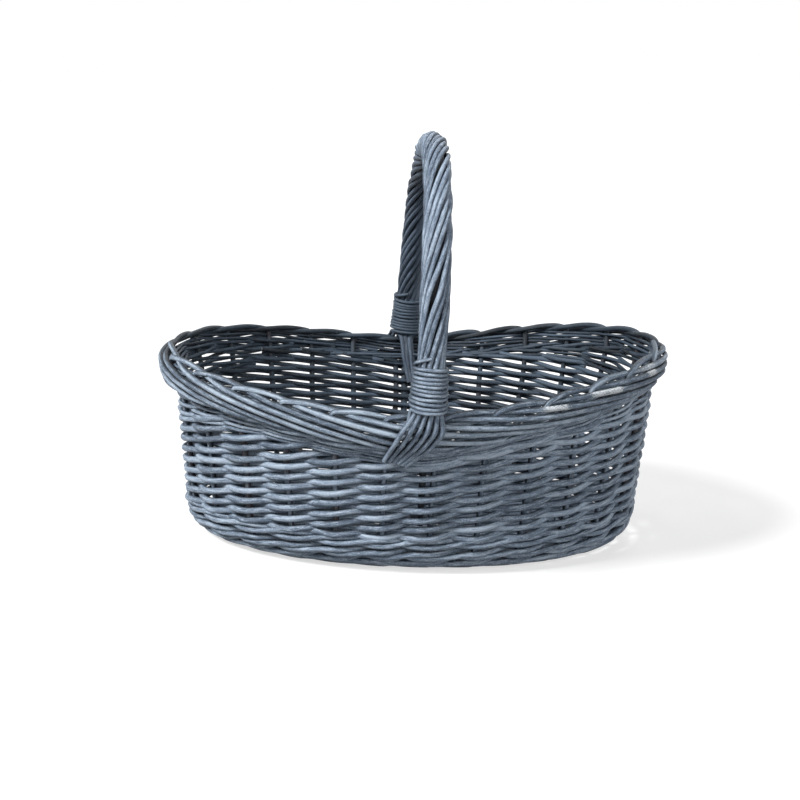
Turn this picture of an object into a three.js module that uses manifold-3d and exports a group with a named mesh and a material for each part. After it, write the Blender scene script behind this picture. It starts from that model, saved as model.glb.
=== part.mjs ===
// An oval wicker shopping basket with one fixed roped handle across its middle.
// X runs along the basket, Y across it from front to back, Z up from the floor. Millimetres.
import * as THREE from "three";
import { mergeVertices } from "three/addons/utils/BufferGeometryUtils.js";
import Module from "manifold-3d";

const wasm = await Module();
wasm.setup();

// Driving dimensions. Lengths and widths of the oval are taken on the line of the side stakes.
// The wall leans out from its foot to the rim band, which flares out further.
const RIM_LENGTH = 421;
const RIM_WIDTH = 309;
const RIM_FLARE_ENDS = 8;
const RIM_FLARE_SIDES = 18.5;
const WALL_LEAN_ENDS = 9.5;
const WALL_LEAN_SIDES = 20.5;
const RIM_HEIGHT_MIDDLE = 143;
const RIM_HEIGHT_ENDS = 175;
const RIM_DIP_ROUND = 0.18;
const RIM_TILT = 7;
const OVAL_CORNERS = 44;
const CLEARANCE = 0.35;

// Stakes and border. The first stake stands a little right of the middle of the front.
const STAKE_COUNT = 26;
const STAKE_DIAMETER = 5.4;
const STAKE_SIDES = 5;
const FIRST_STAKE_OFFSET = 12.5;
const STAKE_FOOT_DEPTH = 14;
const BORDER_LAY_GAP = 0.6;
const BORDER_ROOM = 2;
const BORDER_FLAT = 0.25;
const BORDER_FALL_END = 3.4;
const BORDER_RUN = 4.1;

// Woven bands of the wall
const WEAVER_DIAMETER = 4.2;
const WALE_ROD_DIAMETER = 5.5;
const WALE_HEIGHT = 16;
const WALE_SHOULDER = 0.25;
const UPSETT_RADIUS = 24;
const UPSETT_STEPS = 3;
const UPSETT_INSET = 0.02;

// Base
const BASE_COVER = 2;
const LONG_STICK_COUNT = 3;
const LONG_STICK_DIAMETER = 5;
const LONG_STICK_SPACING = 14;
const SHORT_STICK_COUNT = 7;
const SHORT_STICK_DIAMETER = 8;
const SHORT_STICK_SPACING = 36;
const STICK_SIDES = 6;
const STICK_PROUD = 0.3;
const STICK_END_GAP = 6;

// Handle
const HANDLE_TOP = 352;
const HANDLE_WIDEST_RISE = 17;
const HANDLE_LEAN = 8;
const BOW_LEG_DIAMETER = 7.4;
const BOW_TIP_DIAMETER = 5.2;
const BOW_TIP_RISE = 15;
const BOW_SIDES = 6;
const BOW_WALL_TO_STAKE = 2.2;
const BOW_SHOULDER = 3.6;
const ROPE_COUNT = 12;
const ROPE_DIAMETER = 4.5;
const ROPE_SIDES = 4;
const ROPE_LAY_GAP = 0.44;
const ROPE_TO_BOW = 0.5;
const ROPE_STEPS = 22;
const ROPE_STEPS_IN_BINDING = 3;
const ROPE_TWIST_PLACES = 20;
const ROPE_TWIST_START = 0.6;
const ROPE_FOOT_FLARE = 3.4;
const ROPE_FOOT_GATHER = 0.25;
const TAIL_GAP = 0.6;
const TAIL_CLEARANCE = 0.9;
const OUTER_TAIL_SLANT = 0.55;
const INNER_TAIL_SLANT = 0.18;
const OUTER_TAIL_PAST_WALE = 7;
const INNER_TAIL_PAST_WALE = 8;
const BINDING_DIAMETER = 3.2;
const BINDING_TURNS = 8;
const BINDING_TURN_GAP = 0.47;
const BINDING_LEAST_GAP = 0.4;
const BINDING_STEPS_PER_TURN = 14;
const BINDING_SIDES = 4;
const FRONT_BINDING_GAP = 8.8;
const BACK_BINDING_GAP = 2.6;

// Sizes that follow from the driving ones
const RIM_DIP_REACH = Math.hypot(1, RIM_DIP_ROUND) - RIM_DIP_ROUND;
const WALL_TOP_LENGTH = RIM_LENGTH - 2 * RIM_FLARE_ENDS;
const WALL_TOP_WIDTH = RIM_WIDTH - 2 * RIM_FLARE_SIDES;
const WALL_FOOT_LENGTH = WALL_TOP_LENGTH - 2 * WALL_LEAN_ENDS;
const WALL_FOOT_WIDTH = WALL_TOP_WIDTH - 2 * WALL_LEAN_SIDES;
const STAKE_RADIUS = STAKE_DIAMETER / 2;
// A bore's flats clear a stake whichever way its corners face
const STAKE_ROOM = (STAKE_RADIUS + CLEARANCE) / Math.cos(Math.PI / STAKE_SIDES);
const HALF_TURN = STAKE_COUNT / 2;
const WALL_HALF = STAKE_RADIUS + WEAVER_DIAMETER;
const WALE_HALF = STAKE_RADIUS + WALE_ROD_DIAMETER;
const BORDER_SPREAD = BOW_LEG_DIAMETER / 2 + STAKE_RADIUS + BORDER_ROOM;
const BORDER_REACH = BORDER_SPREAD + STAKE_RADIUS;
const BORDER_FALL = STAKE_DIAMETER + BORDER_LAY_GAP;
const BORDER_DEPTH = BORDER_FALL * (BORDER_FALL_END - BORDER_FLAT) + STAKE_RADIUS + CLEARANCE;
const STAKE_FOOT_HEIGHT = WALL_HALF;
const WALL_FOOT_HEIGHT = STAKE_FOOT_HEIGHT + UPSETT_RADIUS;
const BASE_EDGE_HALF_LENGTH = WALL_FOOT_LENGTH / 2 - UPSETT_RADIUS;
const BASE_EDGE_HALF_WIDTH = WALL_FOOT_WIDTH / 2 - UPSETT_RADIUS;
const BASE_THICKNESS = STAKE_FOOT_HEIGHT + STAKE_RADIUS + BASE_COVER;
const STICK_HEIGHT = BASE_THICKNESS + STICK_PROUD - SHORT_STICK_DIAMETER / 2;
const STICK_END_MARGIN = STAKE_FOOT_DEPTH + STICK_END_GAP;
const ROPE_RADIUS = ROPE_DIAMETER / 2;
const ROPE_RING = (ROPE_DIAMETER + ROPE_LAY_GAP) / (2 * Math.sin(Math.PI / ROPE_COUNT));
const HALF_ROPES = ROPE_COUNT / 2;
const BOW_RADIUS = ROPE_RING - ROPE_RADIUS - ROPE_TO_BOW;
const BOW_LEG_RADIUS = BOW_LEG_DIAMETER / 2;
const BOW_TIP_RADIUS = BOW_TIP_DIAMETER / 2;
const TAIL_SPACING = (ROPE_DIAMETER + TAIL_GAP) * Math.hypot(1, OUTER_TAIL_SLANT);
const TAIL_KNEE = STAKE_RADIUS + ROPE_RADIUS / 2;
const FRONT_BINDING_RISE = TAIL_KNEE - BOW_SHOULDER + FRONT_BINDING_GAP;
const BACK_BINDING_RISE = TAIL_KNEE - BOW_SHOULDER + BACK_BINDING_GAP;
const BINDING_RADIUS = BINDING_DIAMETER / 2;
const BINDING_RING = ROPE_RING + ROPE_RADIUS + CLEARANCE + BINDING_RADIUS;

// Materials, as stained willow
const COLOURS = {
  stake: "#5d6875",
  weave: "#59646f",
  wale: "#5f6b78",
  base: "#56606b",
  stick: "#6a5d57",
  bow: "#5a5450",
  rope: "#74808f",
  binding: "#717c8a",
};

function material(kind) {
  return new THREE.MeshStandardMaterial({ color: COLOURS[kind], roughness: 0.62, metalness: 0 });
}

// Places round the oval, counted in stake spacings from the first stake, counter-clockwise from above
function ovalTable(halfLength, halfWidth) {
  const samples = 2880;
  const lengths = [0];
  const angles = [-Math.PI / 2];
  for (let i = 1; i <= samples; i += 1) {
    const angle = -Math.PI / 2 + (2 * Math.PI * i) / samples;
    const across = halfLength * (Math.cos(angle) - Math.cos(angles[i - 1]));
    const along = halfWidth * (Math.sin(angle) - Math.sin(angles[i - 1]));
    angles.push(angle);
    lengths.push(lengths[i - 1] + Math.hypot(across, along));
  }
  return { lengths, angles, total: lengths[samples] };
}

const OVAL = ovalTable((WALL_FOOT_LENGTH + WALL_TOP_LENGTH) / 4, (WALL_FOOT_WIDTH + WALL_TOP_WIDTH) / 4);
const STAKE_SPACING = OVAL.total / STAKE_COUNT;

function stationAngle(station) {
  const wanted = THREE.MathUtils.euclideanModulo(FIRST_STAKE_OFFSET + station * STAKE_SPACING, OVAL.total);
  let low = 0;
  let high = OVAL.lengths.length - 1;
  while (high - low > 1) {
    const middle = (low + high) >> 1;
    if (OVAL.lengths[middle] <= wanted) {
      low = middle;
    } else {
      high = middle;
    }
  }
  const share = (wanted - OVAL.lengths[low]) / (OVAL.lengths[high] - OVAL.lengths[low]);
  return THREE.MathUtils.lerp(OVAL.angles[low], OVAL.angles[high], share);
}

function ovalPoint(station, halfLength, halfWidth, height) {
  const angle = stationAngle(station);
  return new THREE.Vector3(halfLength * Math.cos(angle), halfWidth * Math.sin(angle), height);
}

// Heights that follow the saddle of the rim, which dips at the handle and is higher at its right end
function borderTop(station) {
  const along = Math.cos(stationAngle(station));
  const endShare = (Math.hypot(along, RIM_DIP_ROUND) - RIM_DIP_ROUND) / RIM_DIP_REACH;
  const top = THREE.MathUtils.lerp(RIM_HEIGHT_MIDDLE, RIM_HEIGHT_ENDS, endShare) + RIM_TILT * along;
  return top - STAKE_RADIUS;
}

// The flat facets of a band cut across the dip, so the bands keep that much lower
const DIP_WIDTH = RIM_DIP_ROUND * RIM_DIP_REACH * (RIM_LENGTH / 2) ** 2;
const DIP_BEND = (RIM_HEIGHT_ENDS - RIM_HEIGHT_MIDDLE) / DIP_WIDTH;
const FACET_LENGTH = OVAL.total / OVAL_CORNERS;
const FACET_RISE = (DIP_BEND * FACET_LENGTH ** 2) / 8;

function waleTop(station) {
  return borderTop(station) - BORDER_DEPTH - FACET_RISE;
}

function wallTop(station) {
  return waleTop(station) - WALE_HEIGHT;
}

// A point on the turn from base to wall: turn 0 lies in the base, 1 stands in the wall
function turnPoint(station, turn, out) {
  const swing = (turn * Math.PI) / 2;
  const reach = (UPSETT_RADIUS + out) * Math.sin(swing);
  const height = STAKE_FOOT_HEIGHT + UPSETT_RADIUS - (UPSETT_RADIUS + out) * Math.cos(swing);
  return ovalPoint(station, BASE_EDGE_HALF_LENGTH + reach, BASE_EDGE_HALF_WIDTH + reach, height);
}

// A point on the wall at a height, a given way out from the line of the stakes
function wallPoint(station, height, out) {
  const top = wallTop(station);
  const rim = borderTop(station);
  const inRim = height > top;
  const low = inRim ? top : WALL_FOOT_HEIGHT;
  const share = (height - low) / ((inRim ? rim : top) - low);
  const lengths = inRim ? [WALL_TOP_LENGTH, RIM_LENGTH] : [WALL_FOOT_LENGTH, WALL_TOP_LENGTH];
  const widths = inRim ? [WALL_TOP_WIDTH, RIM_WIDTH] : [WALL_FOOT_WIDTH, WALL_TOP_WIDTH];
  const halfLength = THREE.MathUtils.lerp(lengths[0], lengths[1], share) / 2;
  const halfWidth = THREE.MathUtils.lerp(widths[0], widths[1], share) / 2;
  return ovalPoint(station, halfLength + out, halfWidth + out, height);
}

// Rods: a many-sided section carried along a curve that has one ring at each of its points
class RodCurve extends THREE.CatmullRomCurve3 {
  getUtoTmapping(share) {
    return share;
  }
}

function rodGeometry(points, radius, sides) {
  const corners = [];
  for (let i = 0; i < sides; i += 1) {
    const angle = (2 * Math.PI * i) / sides;
    corners.push(new THREE.Vector2(radius * Math.cos(angle), radius * Math.sin(angle)));
  }
  const extrudePath = new RodCurve(points, false, "centripetal");
  const options = { steps: points.length - 1, extrudePath, bevelEnabled: false };
  return new THREE.ExtrudeGeometry(new THREE.Shape(corners), options);
}

// A straight round piece between two points, thicker or thinner at its end
function taperGeometry(from, to, fromRadius, toRadius, sides) {
  const axis = to.clone().sub(from);
  const geometry = new THREE.CylinderGeometry(toRadius, fromRadius, axis.length(), sides);
  const upright = new THREE.Vector3(0, 1, 0);
  geometry.applyQuaternion(new THREE.Quaternion().setFromUnitVectors(upright, axis.normalize()));
  const middle = from.clone().add(to).multiplyScalar(0.5);
  return geometry.translate(middle.x, middle.y, middle.z);
}

// Places of the corners that the bands and the base have round the oval
function cornerStation(corner) {
  return ((corner % OVAL_CORNERS) * STAKE_COUNT) / OVAL_CORNERS;
}

// A closed band round the oval: a turned ring whose points are moved to the wall
function bandGeometry(profile, pointAt) {
  const turnedRadius = 100;
  const closed = [...profile, profile[0]];
  const section = closed.map(([out, rise]) => new THREE.Vector2(turnedRadius + out, rise));
  const geometry = new THREE.LatheGeometry(section, OVAL_CORNERS);
  const position = geometry.getAttribute("position");
  for (let i = 0; i < position.count; i += 1) {
    const ring = Math.floor(i / section.length);
    const [out, rise] = closed[i % section.length];
    const point = pointAt(cornerStation(ring), out, rise);
    position.setXYZ(i, point.x, point.y, point.z);
  }
  return geometry;
}

// Joining and cutting of closed shapes
function toSolid(geometry) {
  const bare = new THREE.BufferGeometry();
  bare.setAttribute("position", geometry.getAttribute("position"));
  bare.setIndex(geometry.getIndex());
  const merged = mergeVertices(bare, 1e-4);
  const vertProperties = new Float32Array(merged.getAttribute("position").array);
  const triVerts = new Uint32Array(merged.getIndex().array);
  return new wasm.Manifold(new wasm.Mesh({ numProp: 3, vertProperties, triVerts }));
}

function fromSolid(solid) {
  const mesh = solid.getMesh();
  const geometry = new THREE.BufferGeometry();
  geometry.setAttribute("position", new THREE.BufferAttribute(new Float32Array(mesh.vertProperties), 3));
  geometry.setIndex(new THREE.BufferAttribute(new Uint32Array(mesh.triVerts), 1));
  geometry.computeVertexNormals();
  return geometry;
}

function cut(geometry, tools) {
  let solid = toSolid(geometry);
  for (const tool of tools) {
    solid = solid.subtract(toSolid(tool));
  }
  return fromSolid(solid);
}

function join(parts) {
  let solid = toSolid(parts[0]);
  for (const part of parts.slice(1)) {
    solid = solid.add(toSolid(part));
  }
  return fromSolid(solid);
}

function twoDigits(number) {
  return String(number).padStart(2, "0");
}

const basket = new THREE.Group();
basket.name = "wicker_shopping_basket";
const baseGroup = new THREE.Group();
baseGroup.name = "base";
const wallGroup = new THREE.Group();
wallGroup.name = "wall";
const handleGroup = new THREE.Group();
handleGroup.name = "handle";
basket.add(baseGroup, wallGroup, handleGroup);

function addPiece(group, name, kind, geometry) {
  const mesh = new THREE.Mesh(geometry, material(kind));
  mesh.name = name;
  group.add(mesh);
  return mesh;
}

// Stakes
function footPoint(station, depth) {
  const edge = turnPoint(station, 0, 0);
  const outward = turnPoint(station, 1, 0).sub(edge).setZ(0).normalize();
  return edge.addScaledVector(outward, -depth);
}

function turnPoints(station) {
  const points = [];
  for (let i = 0; i <= UPSETT_STEPS; i += 1) {
    points.push(turnPoint(station, i / UPSETT_STEPS, 0));
  }
  return points;
}

function shankPoints(station) {
  const points = [footPoint(station, STAKE_FOOT_DEPTH - CLEARANCE), ...turnPoints(station)];
  points.push(wallPoint(station, wallTop(station), 0));
  points.push(wallPoint(station, waleTop(station), 0));
  points.push(wallPoint(station, borderTop(station) - 2 * STAKE_DIAMETER, 0));
  return points;
}

// Straight room for a stake through a band and past both faces
function straightBore(low, high) {
  return rodGeometry([low.clone().lerp(high, -0.2), high.clone().lerp(low, -0.2)], STAKE_ROOM, STAKE_SIDES);
}

// The border: where a turned-down stake lies, inside or outside the line of stakes it passes
const BORDER_PATH = [
  { along: 0.012, side: 0, rise: -0.6 },
  { along: 0.1, side: 0, rise: 0 },
  { along: 0.22, side: -0.06 },
  { along: 0.58, side: -1 },
  { along: 1.2, side: -1 },
  { along: 1.6, side: 1 },
  { along: 2.4, side: 1 },
  { along: 3.2, side: 1 },
  { along: 3.6, side: -1 },
  { along: BORDER_RUN, side: -1 },
];

function borderPoints(station) {
  return BORDER_PATH.map(({ along, side, rise }) => {
    const place = station + along;
    const run = THREE.MathUtils.clamp(along, BORDER_FLAT, BORDER_FALL_END) - BORDER_FLAT;
    const fall = rise === undefined ? BORDER_FALL * run : -rise * STAKE_DIAMETER;
    return wallPoint(place, borderTop(place) - fall, side * BORDER_SPREAD);
  });
}

const baseBores = [];
const upsettBores = [];
const sideBores = [];
const waleBores = [];
for (let i = 0; i < STAKE_COUNT; i += 1) {
  const whole = [...shankPoints(i), ...borderPoints(i)];
  addPiece(wallGroup, `stake_${twoDigits(i + 1)}`, "stake", rodGeometry(whole, STAKE_RADIUS, STAKE_SIDES));
  const wallFoot = wallPoint(i, WALL_FOOT_HEIGHT, 0);
  const wallHead = wallPoint(i, wallTop(i), 0);
  const onPastTurn = wallFoot.clone().lerp(wallHead, 0.1);
  const foot = footPoint(i, STAKE_FOOT_DEPTH);
  const turned = [foot, ...turnPoints(i), onPastTurn];
  upsettBores.push(rodGeometry(turned, STAKE_ROOM, STAKE_SIDES));
  baseBores.push(rodGeometry([foot, footPoint(i, -STAKE_RADIUS)], STAKE_ROOM, STAKE_SIDES));
  sideBores.push(straightBore(wallFoot, wallHead));
  waleBores.push(straightBore(wallHead, wallPoint(i, waleTop(i), 0)));
}

// Handle line: an upright oval arch over the two facing stakes, leaning a little to the right
const BOW_SETBACK = STAKE_RADIUS + BOW_WALL_TO_STAKE + BOW_LEG_RADIUS;
const FRONT_FOOT = -BOW_SETBACK / STAKE_SPACING;
const BACK_FOOT = FRONT_FOOT + HALF_TURN;
const FOOT_HEIGHT = borderTop(FRONT_FOOT);
const ARCH_START = wallPoint(FRONT_FOOT, FOOT_HEIGHT, 0).setZ(FOOT_HEIGHT + BOW_SHOULDER);
const ARCH_TOP = HANDLE_TOP - ROPE_RING - ROPE_RADIUS;
const ARCH_WIDEST = RIM_HEIGHT_MIDDLE + HANDLE_WIDEST_RISE;
const ARCH_HALF_HEIGHT = ARCH_TOP - ARCH_WIDEST;
const ARCH_START_SWING = Math.asin((ARCH_START.z - ARCH_WIDEST) / ARCH_HALF_HEIGHT);
const ARCH_FRONT = new THREE.Vector3(ARCH_START.x, ARCH_START.y, 0).normalize();
const ARCH_SIDE = new THREE.Vector3(-ARCH_FRONT.y, ARCH_FRONT.x, 0);
const ARCH_HALF_SPAN = Math.hypot(ARCH_START.x, ARCH_START.y) / Math.cos(ARCH_START_SWING);

function archPoint(swing) {
  const height = ARCH_WIDEST + ARCH_HALF_HEIGHT * Math.sin(swing);
  const lean = (HANDLE_LEAN * (height - ARCH_START.z)) / (ARCH_TOP - ARCH_START.z);
  const point = ARCH_FRONT.clone().multiplyScalar(ARCH_HALF_SPAN * Math.cos(swing));
  return point.addScaledVector(ARCH_SIDE, lean).setZ(height);
}

class ArchCurve extends THREE.Curve {
  getPoint(share, target = new THREE.Vector3()) {
    const swing = THREE.MathUtils.lerp(ARCH_START_SWING, Math.PI - ARCH_START_SWING, share);
    return target.copy(archPoint(swing));
  }
}

const ARCH = new ArchCurve();
ARCH.arcLengthDivisions = 600;
const ARCH_LENGTH = ARCH.getLength();
const ARCH_LEFT = archPoint(Math.PI - ARCH_START_SWING)
  .sub(archPoint(Math.PI / 2))
  .cross(archPoint(ARCH_START_SWING).sub(archPoint(Math.PI / 2)))
  .normalize();

// The handle's own directions at a distance along it: the way it runs, sideways to the left, and outward
function handleFrame(distance) {
  const share = distance / ARCH_LENGTH;
  const point = ARCH.getPointAt(share);
  const run = ARCH.getTangentAt(share);
  const left = ARCH_LEFT.clone();
  const outward = run.clone().cross(left);
  return { point, left, outward };
}

function handlePoint(distance, radius, angle) {
  const { point, left, outward } = handleFrame(distance);
  point.addScaledVector(left, radius * Math.cos(angle));
  return point.addScaledVector(outward, radius * Math.sin(angle));
}

// The turns of a binding lie closer on the inner side of the bend, where they still keep their gap
const ARCH_FOOT_RADIUS = ARCH_HALF_HEIGHT ** 2 / ARCH_HALF_SPAN;
const BINDING_SQUEEZE = 1 - (BINDING_RING + ROPE_FOOT_FLARE) / ARCH_FOOT_RADIUS;
const BINDING_HEIGHT = (BINDING_TURNS * (BINDING_DIAMETER + BINDING_TURN_GAP)) / BINDING_SQUEEZE;
const BACK_BINDING_END = ARCH_LENGTH - BACK_BINDING_RISE;

// Distances along the handle where the rope has its rings, closer where it twists faster
function twistShare(place) {
  const growth = 1 - ROPE_TWIST_START;
  return (-ROPE_TWIST_START + Math.sqrt(ROPE_TWIST_START ** 2 + 4 * growth * place)) / (2 * growth);
}

const HANDLE_STEPS = [];
for (let i = 0; i < ROPE_STEPS_IN_BINDING; i += 1) {
  const share = i / ROPE_STEPS_IN_BINDING;
  HANDLE_STEPS.push({ distance: FRONT_BINDING_RISE + BINDING_HEIGHT * share, twist: 0, foot: 1 - share });
}
for (let i = 0; i <= ROPE_STEPS; i += 1) {
  const start = FRONT_BINDING_RISE + BINDING_HEIGHT;
  const end = BACK_BINDING_END - BINDING_HEIGHT;
  const distance = THREE.MathUtils.lerp(start, end, twistShare(i / ROPE_STEPS));
  HANDLE_STEPS.push({ distance, twist: i / ROPE_STEPS, foot: 0 });
}
for (let i = ROPE_STEPS_IN_BINDING - 1; i >= 0; i -= 1) {
  const share = i / ROPE_STEPS_IN_BINDING;
  HANDLE_STEPS.push({ distance: BACK_BINDING_END - BINDING_HEIGHT * share, twist: 1, foot: 1 - share });
}

// Bow: the arch, and at each foot a shoulder and a shaved leg beside its stake
function legPoints(station) {
  const low = wallPoint(station, WALL_FOOT_HEIGHT + BOW_TIP_RISE, 0);
  const high = wallPoint(station, borderTop(station) - CLEARANCE, 0);
  return { low, high };
}

const bowParts = [];
const legBores = [];
const archPoints = HANDLE_STEPS.map(({ distance }) => handleFrame(distance).point);
bowParts.push(rodGeometry(archPoints, BOW_RADIUS, BOW_SIDES));
const BOW_FEET = [
  { station: FRONT_FOOT, end: 0, start: FRONT_BINDING_RISE, inward: 1 },
  { station: BACK_FOOT, end: ARCH_LENGTH, start: BACK_BINDING_END, inward: -1 },
];
for (const { station, end, start, inward } of BOW_FEET) {
  const { low, high } = legPoints(station);
  const inArch = handleFrame(start + inward * STAKE_RADIUS).point;
  const neck = handleFrame(end).point;
  const inNeck = neck.clone().lerp(inArch, 0.2);
  const inLeg = high.clone().lerp(neck, 0.3);
  bowParts.push(taperGeometry(neck, inArch, BOW_LEG_RADIUS, BOW_RADIUS - CLEARANCE, BOW_SIDES));
  bowParts.push(taperGeometry(high, inNeck, BOW_LEG_RADIUS, BOW_LEG_RADIUS, BOW_SIDES));
  bowParts.push(taperGeometry(low, inLeg, BOW_TIP_RADIUS, BOW_LEG_RADIUS, BOW_SIDES));
  const underTip = low.clone().lerp(high, -0.01);
  const tipRoom = BOW_TIP_RADIUS + CLEARANCE;
  const legRoom = BOW_LEG_RADIUS + CLEARANCE;
  legBores.push(taperGeometry(underTip, high, tipRoom, legRoom, BOW_SIDES));
}
addPiece(handleGroup, "handle_bow", "bow", join(bowParts));

// Rope: rods round the bow, with tails that fan out over the rim, outside and inside
const WALE_SHOULDER_DROP = BORDER_DEPTH + (1 - WALE_SHOULDER) * WALE_HEIGHT;
const OUTER_TAIL = [
  { drop: STAKE_RADIUS - CLEARANCE, out: BORDER_REACH },
  { drop: BORDER_DEPTH - BORDER_FALL, out: BORDER_REACH },
  { drop: WALE_SHOULDER_DROP, out: WALE_HALF },
  { drop: BORDER_DEPTH + WALE_HEIGHT + OUTER_TAIL_PAST_WALE, out: WALL_HALF },
];
const INNER_TAIL = [
  { drop: -TAIL_KNEE, out: -BORDER_REACH },
  { drop: BORDER_DEPTH - STAKE_RADIUS, out: -BORDER_REACH },
  { drop: WALE_SHOULDER_DROP, out: -WALE_HALF },
  { drop: BORDER_DEPTH + WALE_HEIGHT + INNER_TAIL_PAST_WALE, out: -WALL_HALF },
];

function tailPoints(place, footStation, facing) {
  const outer = place < HALF_ROPES;
  const order = (HALF_ROPES - 1) / 2 - (place % HALF_ROPES);
  const sideways = (outer ? facing : -facing) * order * TAIL_SPACING;
  const tail = outer ? OUTER_TAIL : INNER_TAIL;
  const slant = outer ? OUTER_TAIL_SLANT : INNER_TAIL_SLANT;
  const stand = ROPE_RADIUS + TAIL_CLEARANCE;
  return tail.map(({ drop, out }) => {
    const station = footStation + (sideways - slant * drop) / STAKE_SPACING;
    return wallPoint(station, borderTop(footStation) - drop, out + Math.sign(out) * stand);
  });
}

// At a foot the rods draw together, half of them outside the rim and half inside
function gathered(angle, foot) {
  const turned = THREE.MathUtils.euclideanModulo(angle, 2 * Math.PI);
  const middle = turned < Math.PI ? Math.PI / 2 : 1.5 * Math.PI;
  return angle + (middle - turned) * ROPE_FOOT_GATHER * foot;
}

for (let i = 0; i < ROPE_COUNT; i += 1) {
  const startAngle = (2 * Math.PI * (i + 0.5)) / ROPE_COUNT;
  const round = (2 * Math.PI * ROPE_TWIST_PLACES) / ROPE_COUNT;
  const laid = HANDLE_STEPS.map(({ distance, twist, foot }) => {
    const angle = gathered(startAngle + round * twist, foot);
    return handlePoint(distance, ROPE_RING + ROPE_FOOT_FLARE * foot, angle);
  });
  const frontTail = tailPoints(i, FRONT_FOOT, -1).reverse();
  const backTail = tailPoints((i + ROPE_TWIST_PLACES) % ROPE_COUNT, BACK_FOOT, 1);
  const rod = rodGeometry([...frontTail, ...laid, ...backTail], ROPE_RADIUS, ROPE_SIDES);
  addPiece(handleGroup, `handle_rope_${twoDigits(i + 1)}`, "rope", rod);
}

// Bindings: one rod wound round the rope at each foot, its ends straight
function bindingPoints(distanceAt) {
  const points = [];
  const steps = BINDING_TURNS * BINDING_STEPS_PER_TURN;
  for (let i = 0; i <= steps; i += 1) {
    const share = i / steps;
    const ring = BINDING_RING + ROPE_FOOT_FLARE * (1 - share);
    const distance = distanceAt(BINDING_HEIGHT * share);
    points.push(handlePoint(distance, ring, (2 * Math.PI * i) / BINDING_STEPS_PER_TURN));
  }
  const startWay = points[0].clone().sub(points[1]).setLength(BINDING_DIAMETER);
  const endWay = points[steps].clone().sub(points[steps - 1]).setLength(BINDING_DIAMETER);
  points.unshift(points[0].clone().add(startWay));
  points.push(points[points.length - 1].clone().add(endWay));
  return points;
}

function leastGap(points) {
  let least = Infinity;
  for (let i = 0; i < points.length; i += 1) {
    for (let j = i + BINDING_STEPS_PER_TURN / 2; j < points.length; j += 1) {
      least = Math.min(least, points[i].distanceTo(points[j]) - BINDING_DIAMETER);
    }
  }
  return least;
}

const BINDINGS = [
  { name: "handle_binding_front", distanceAt: (rise) => FRONT_BINDING_RISE + rise },
  { name: "handle_binding_back", distanceAt: (rise) => BACK_BINDING_END - rise },
];
for (const { name, distanceAt } of BINDINGS) {
  const points = bindingPoints(distanceAt);
  const gap = leastGap(points);
  console.log(`${name}: least gap between turns ${gap.toFixed(2)} mm, wanted over ${BINDING_LEAST_GAP}`);
  addPiece(handleGroup, name, "binding", rodGeometry(points, BINDING_RADIUS, BINDING_SIDES));
}

// Woven bands, with room for the stakes and for the shaved legs of the bow
const upsettProfile = [];
for (let i = 0; i <= UPSETT_STEPS; i += 1) {
  upsettProfile.push([WALL_HALF, i / UPSETT_STEPS]);
}
for (let i = UPSETT_STEPS; i >= 0; i -= 1) {
  upsettProfile.push([-WALL_HALF, i / UPSETT_STEPS]);
}
const upsett = bandGeometry(upsettProfile, (station, out, share) => {
  return turnPoint(station, THREE.MathUtils.lerp(UPSETT_INSET, 1 - UPSETT_INSET, share), out);
});
addPiece(wallGroup, "upsett_wale", "wale", cut(upsett, upsettBores));

const sideProfile = [[-WALL_HALF, 0], [WALL_HALF, 0], [WALL_HALF, 1], [-WALL_HALF, 1]];
const side = bandGeometry(sideProfile, (station, out, share) => {
  const height = THREE.MathUtils.lerp(WALL_FOOT_HEIGHT + CLEARANCE, wallTop(station) - CLEARANCE, share);
  return wallPoint(station, height, out);
});
addPiece(wallGroup, "side_weave", "weave", cut(side, [...sideBores, ...legBores]));

const waleProfile = [
  [-WALL_HALF, 0],
  [WALL_HALF, 0],
  [WALE_HALF, WALE_SHOULDER],
  [WALE_HALF, 1],
  [-WALE_HALF, 1],
  [-WALE_HALF, WALE_SHOULDER],
];
const wale = bandGeometry(waleProfile, (station, out, share) => {
  return wallPoint(station, THREE.MathUtils.lerp(wallTop(station), waleTop(station), share), out);
});
addPiece(wallGroup, "top_wale", "wale", cut(wale, [...waleBores, ...legBores]));

// Base: sticks, and the woven plate round them that holds the feet of the stakes
function stickReach(halfAlong, halfAcross, offset) {
  return halfAlong * Math.sqrt(1 - (offset / halfAcross) ** 2) - STICK_END_MARGIN;
}

function stickRoom(from, to, radius) {
  const past = to.clone().sub(from).setLength(CLEARANCE);
  const room = radius + CLEARANCE;
  return taperGeometry(from.clone().sub(past), to.clone().add(past), room, room, STICK_SIDES);
}

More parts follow.
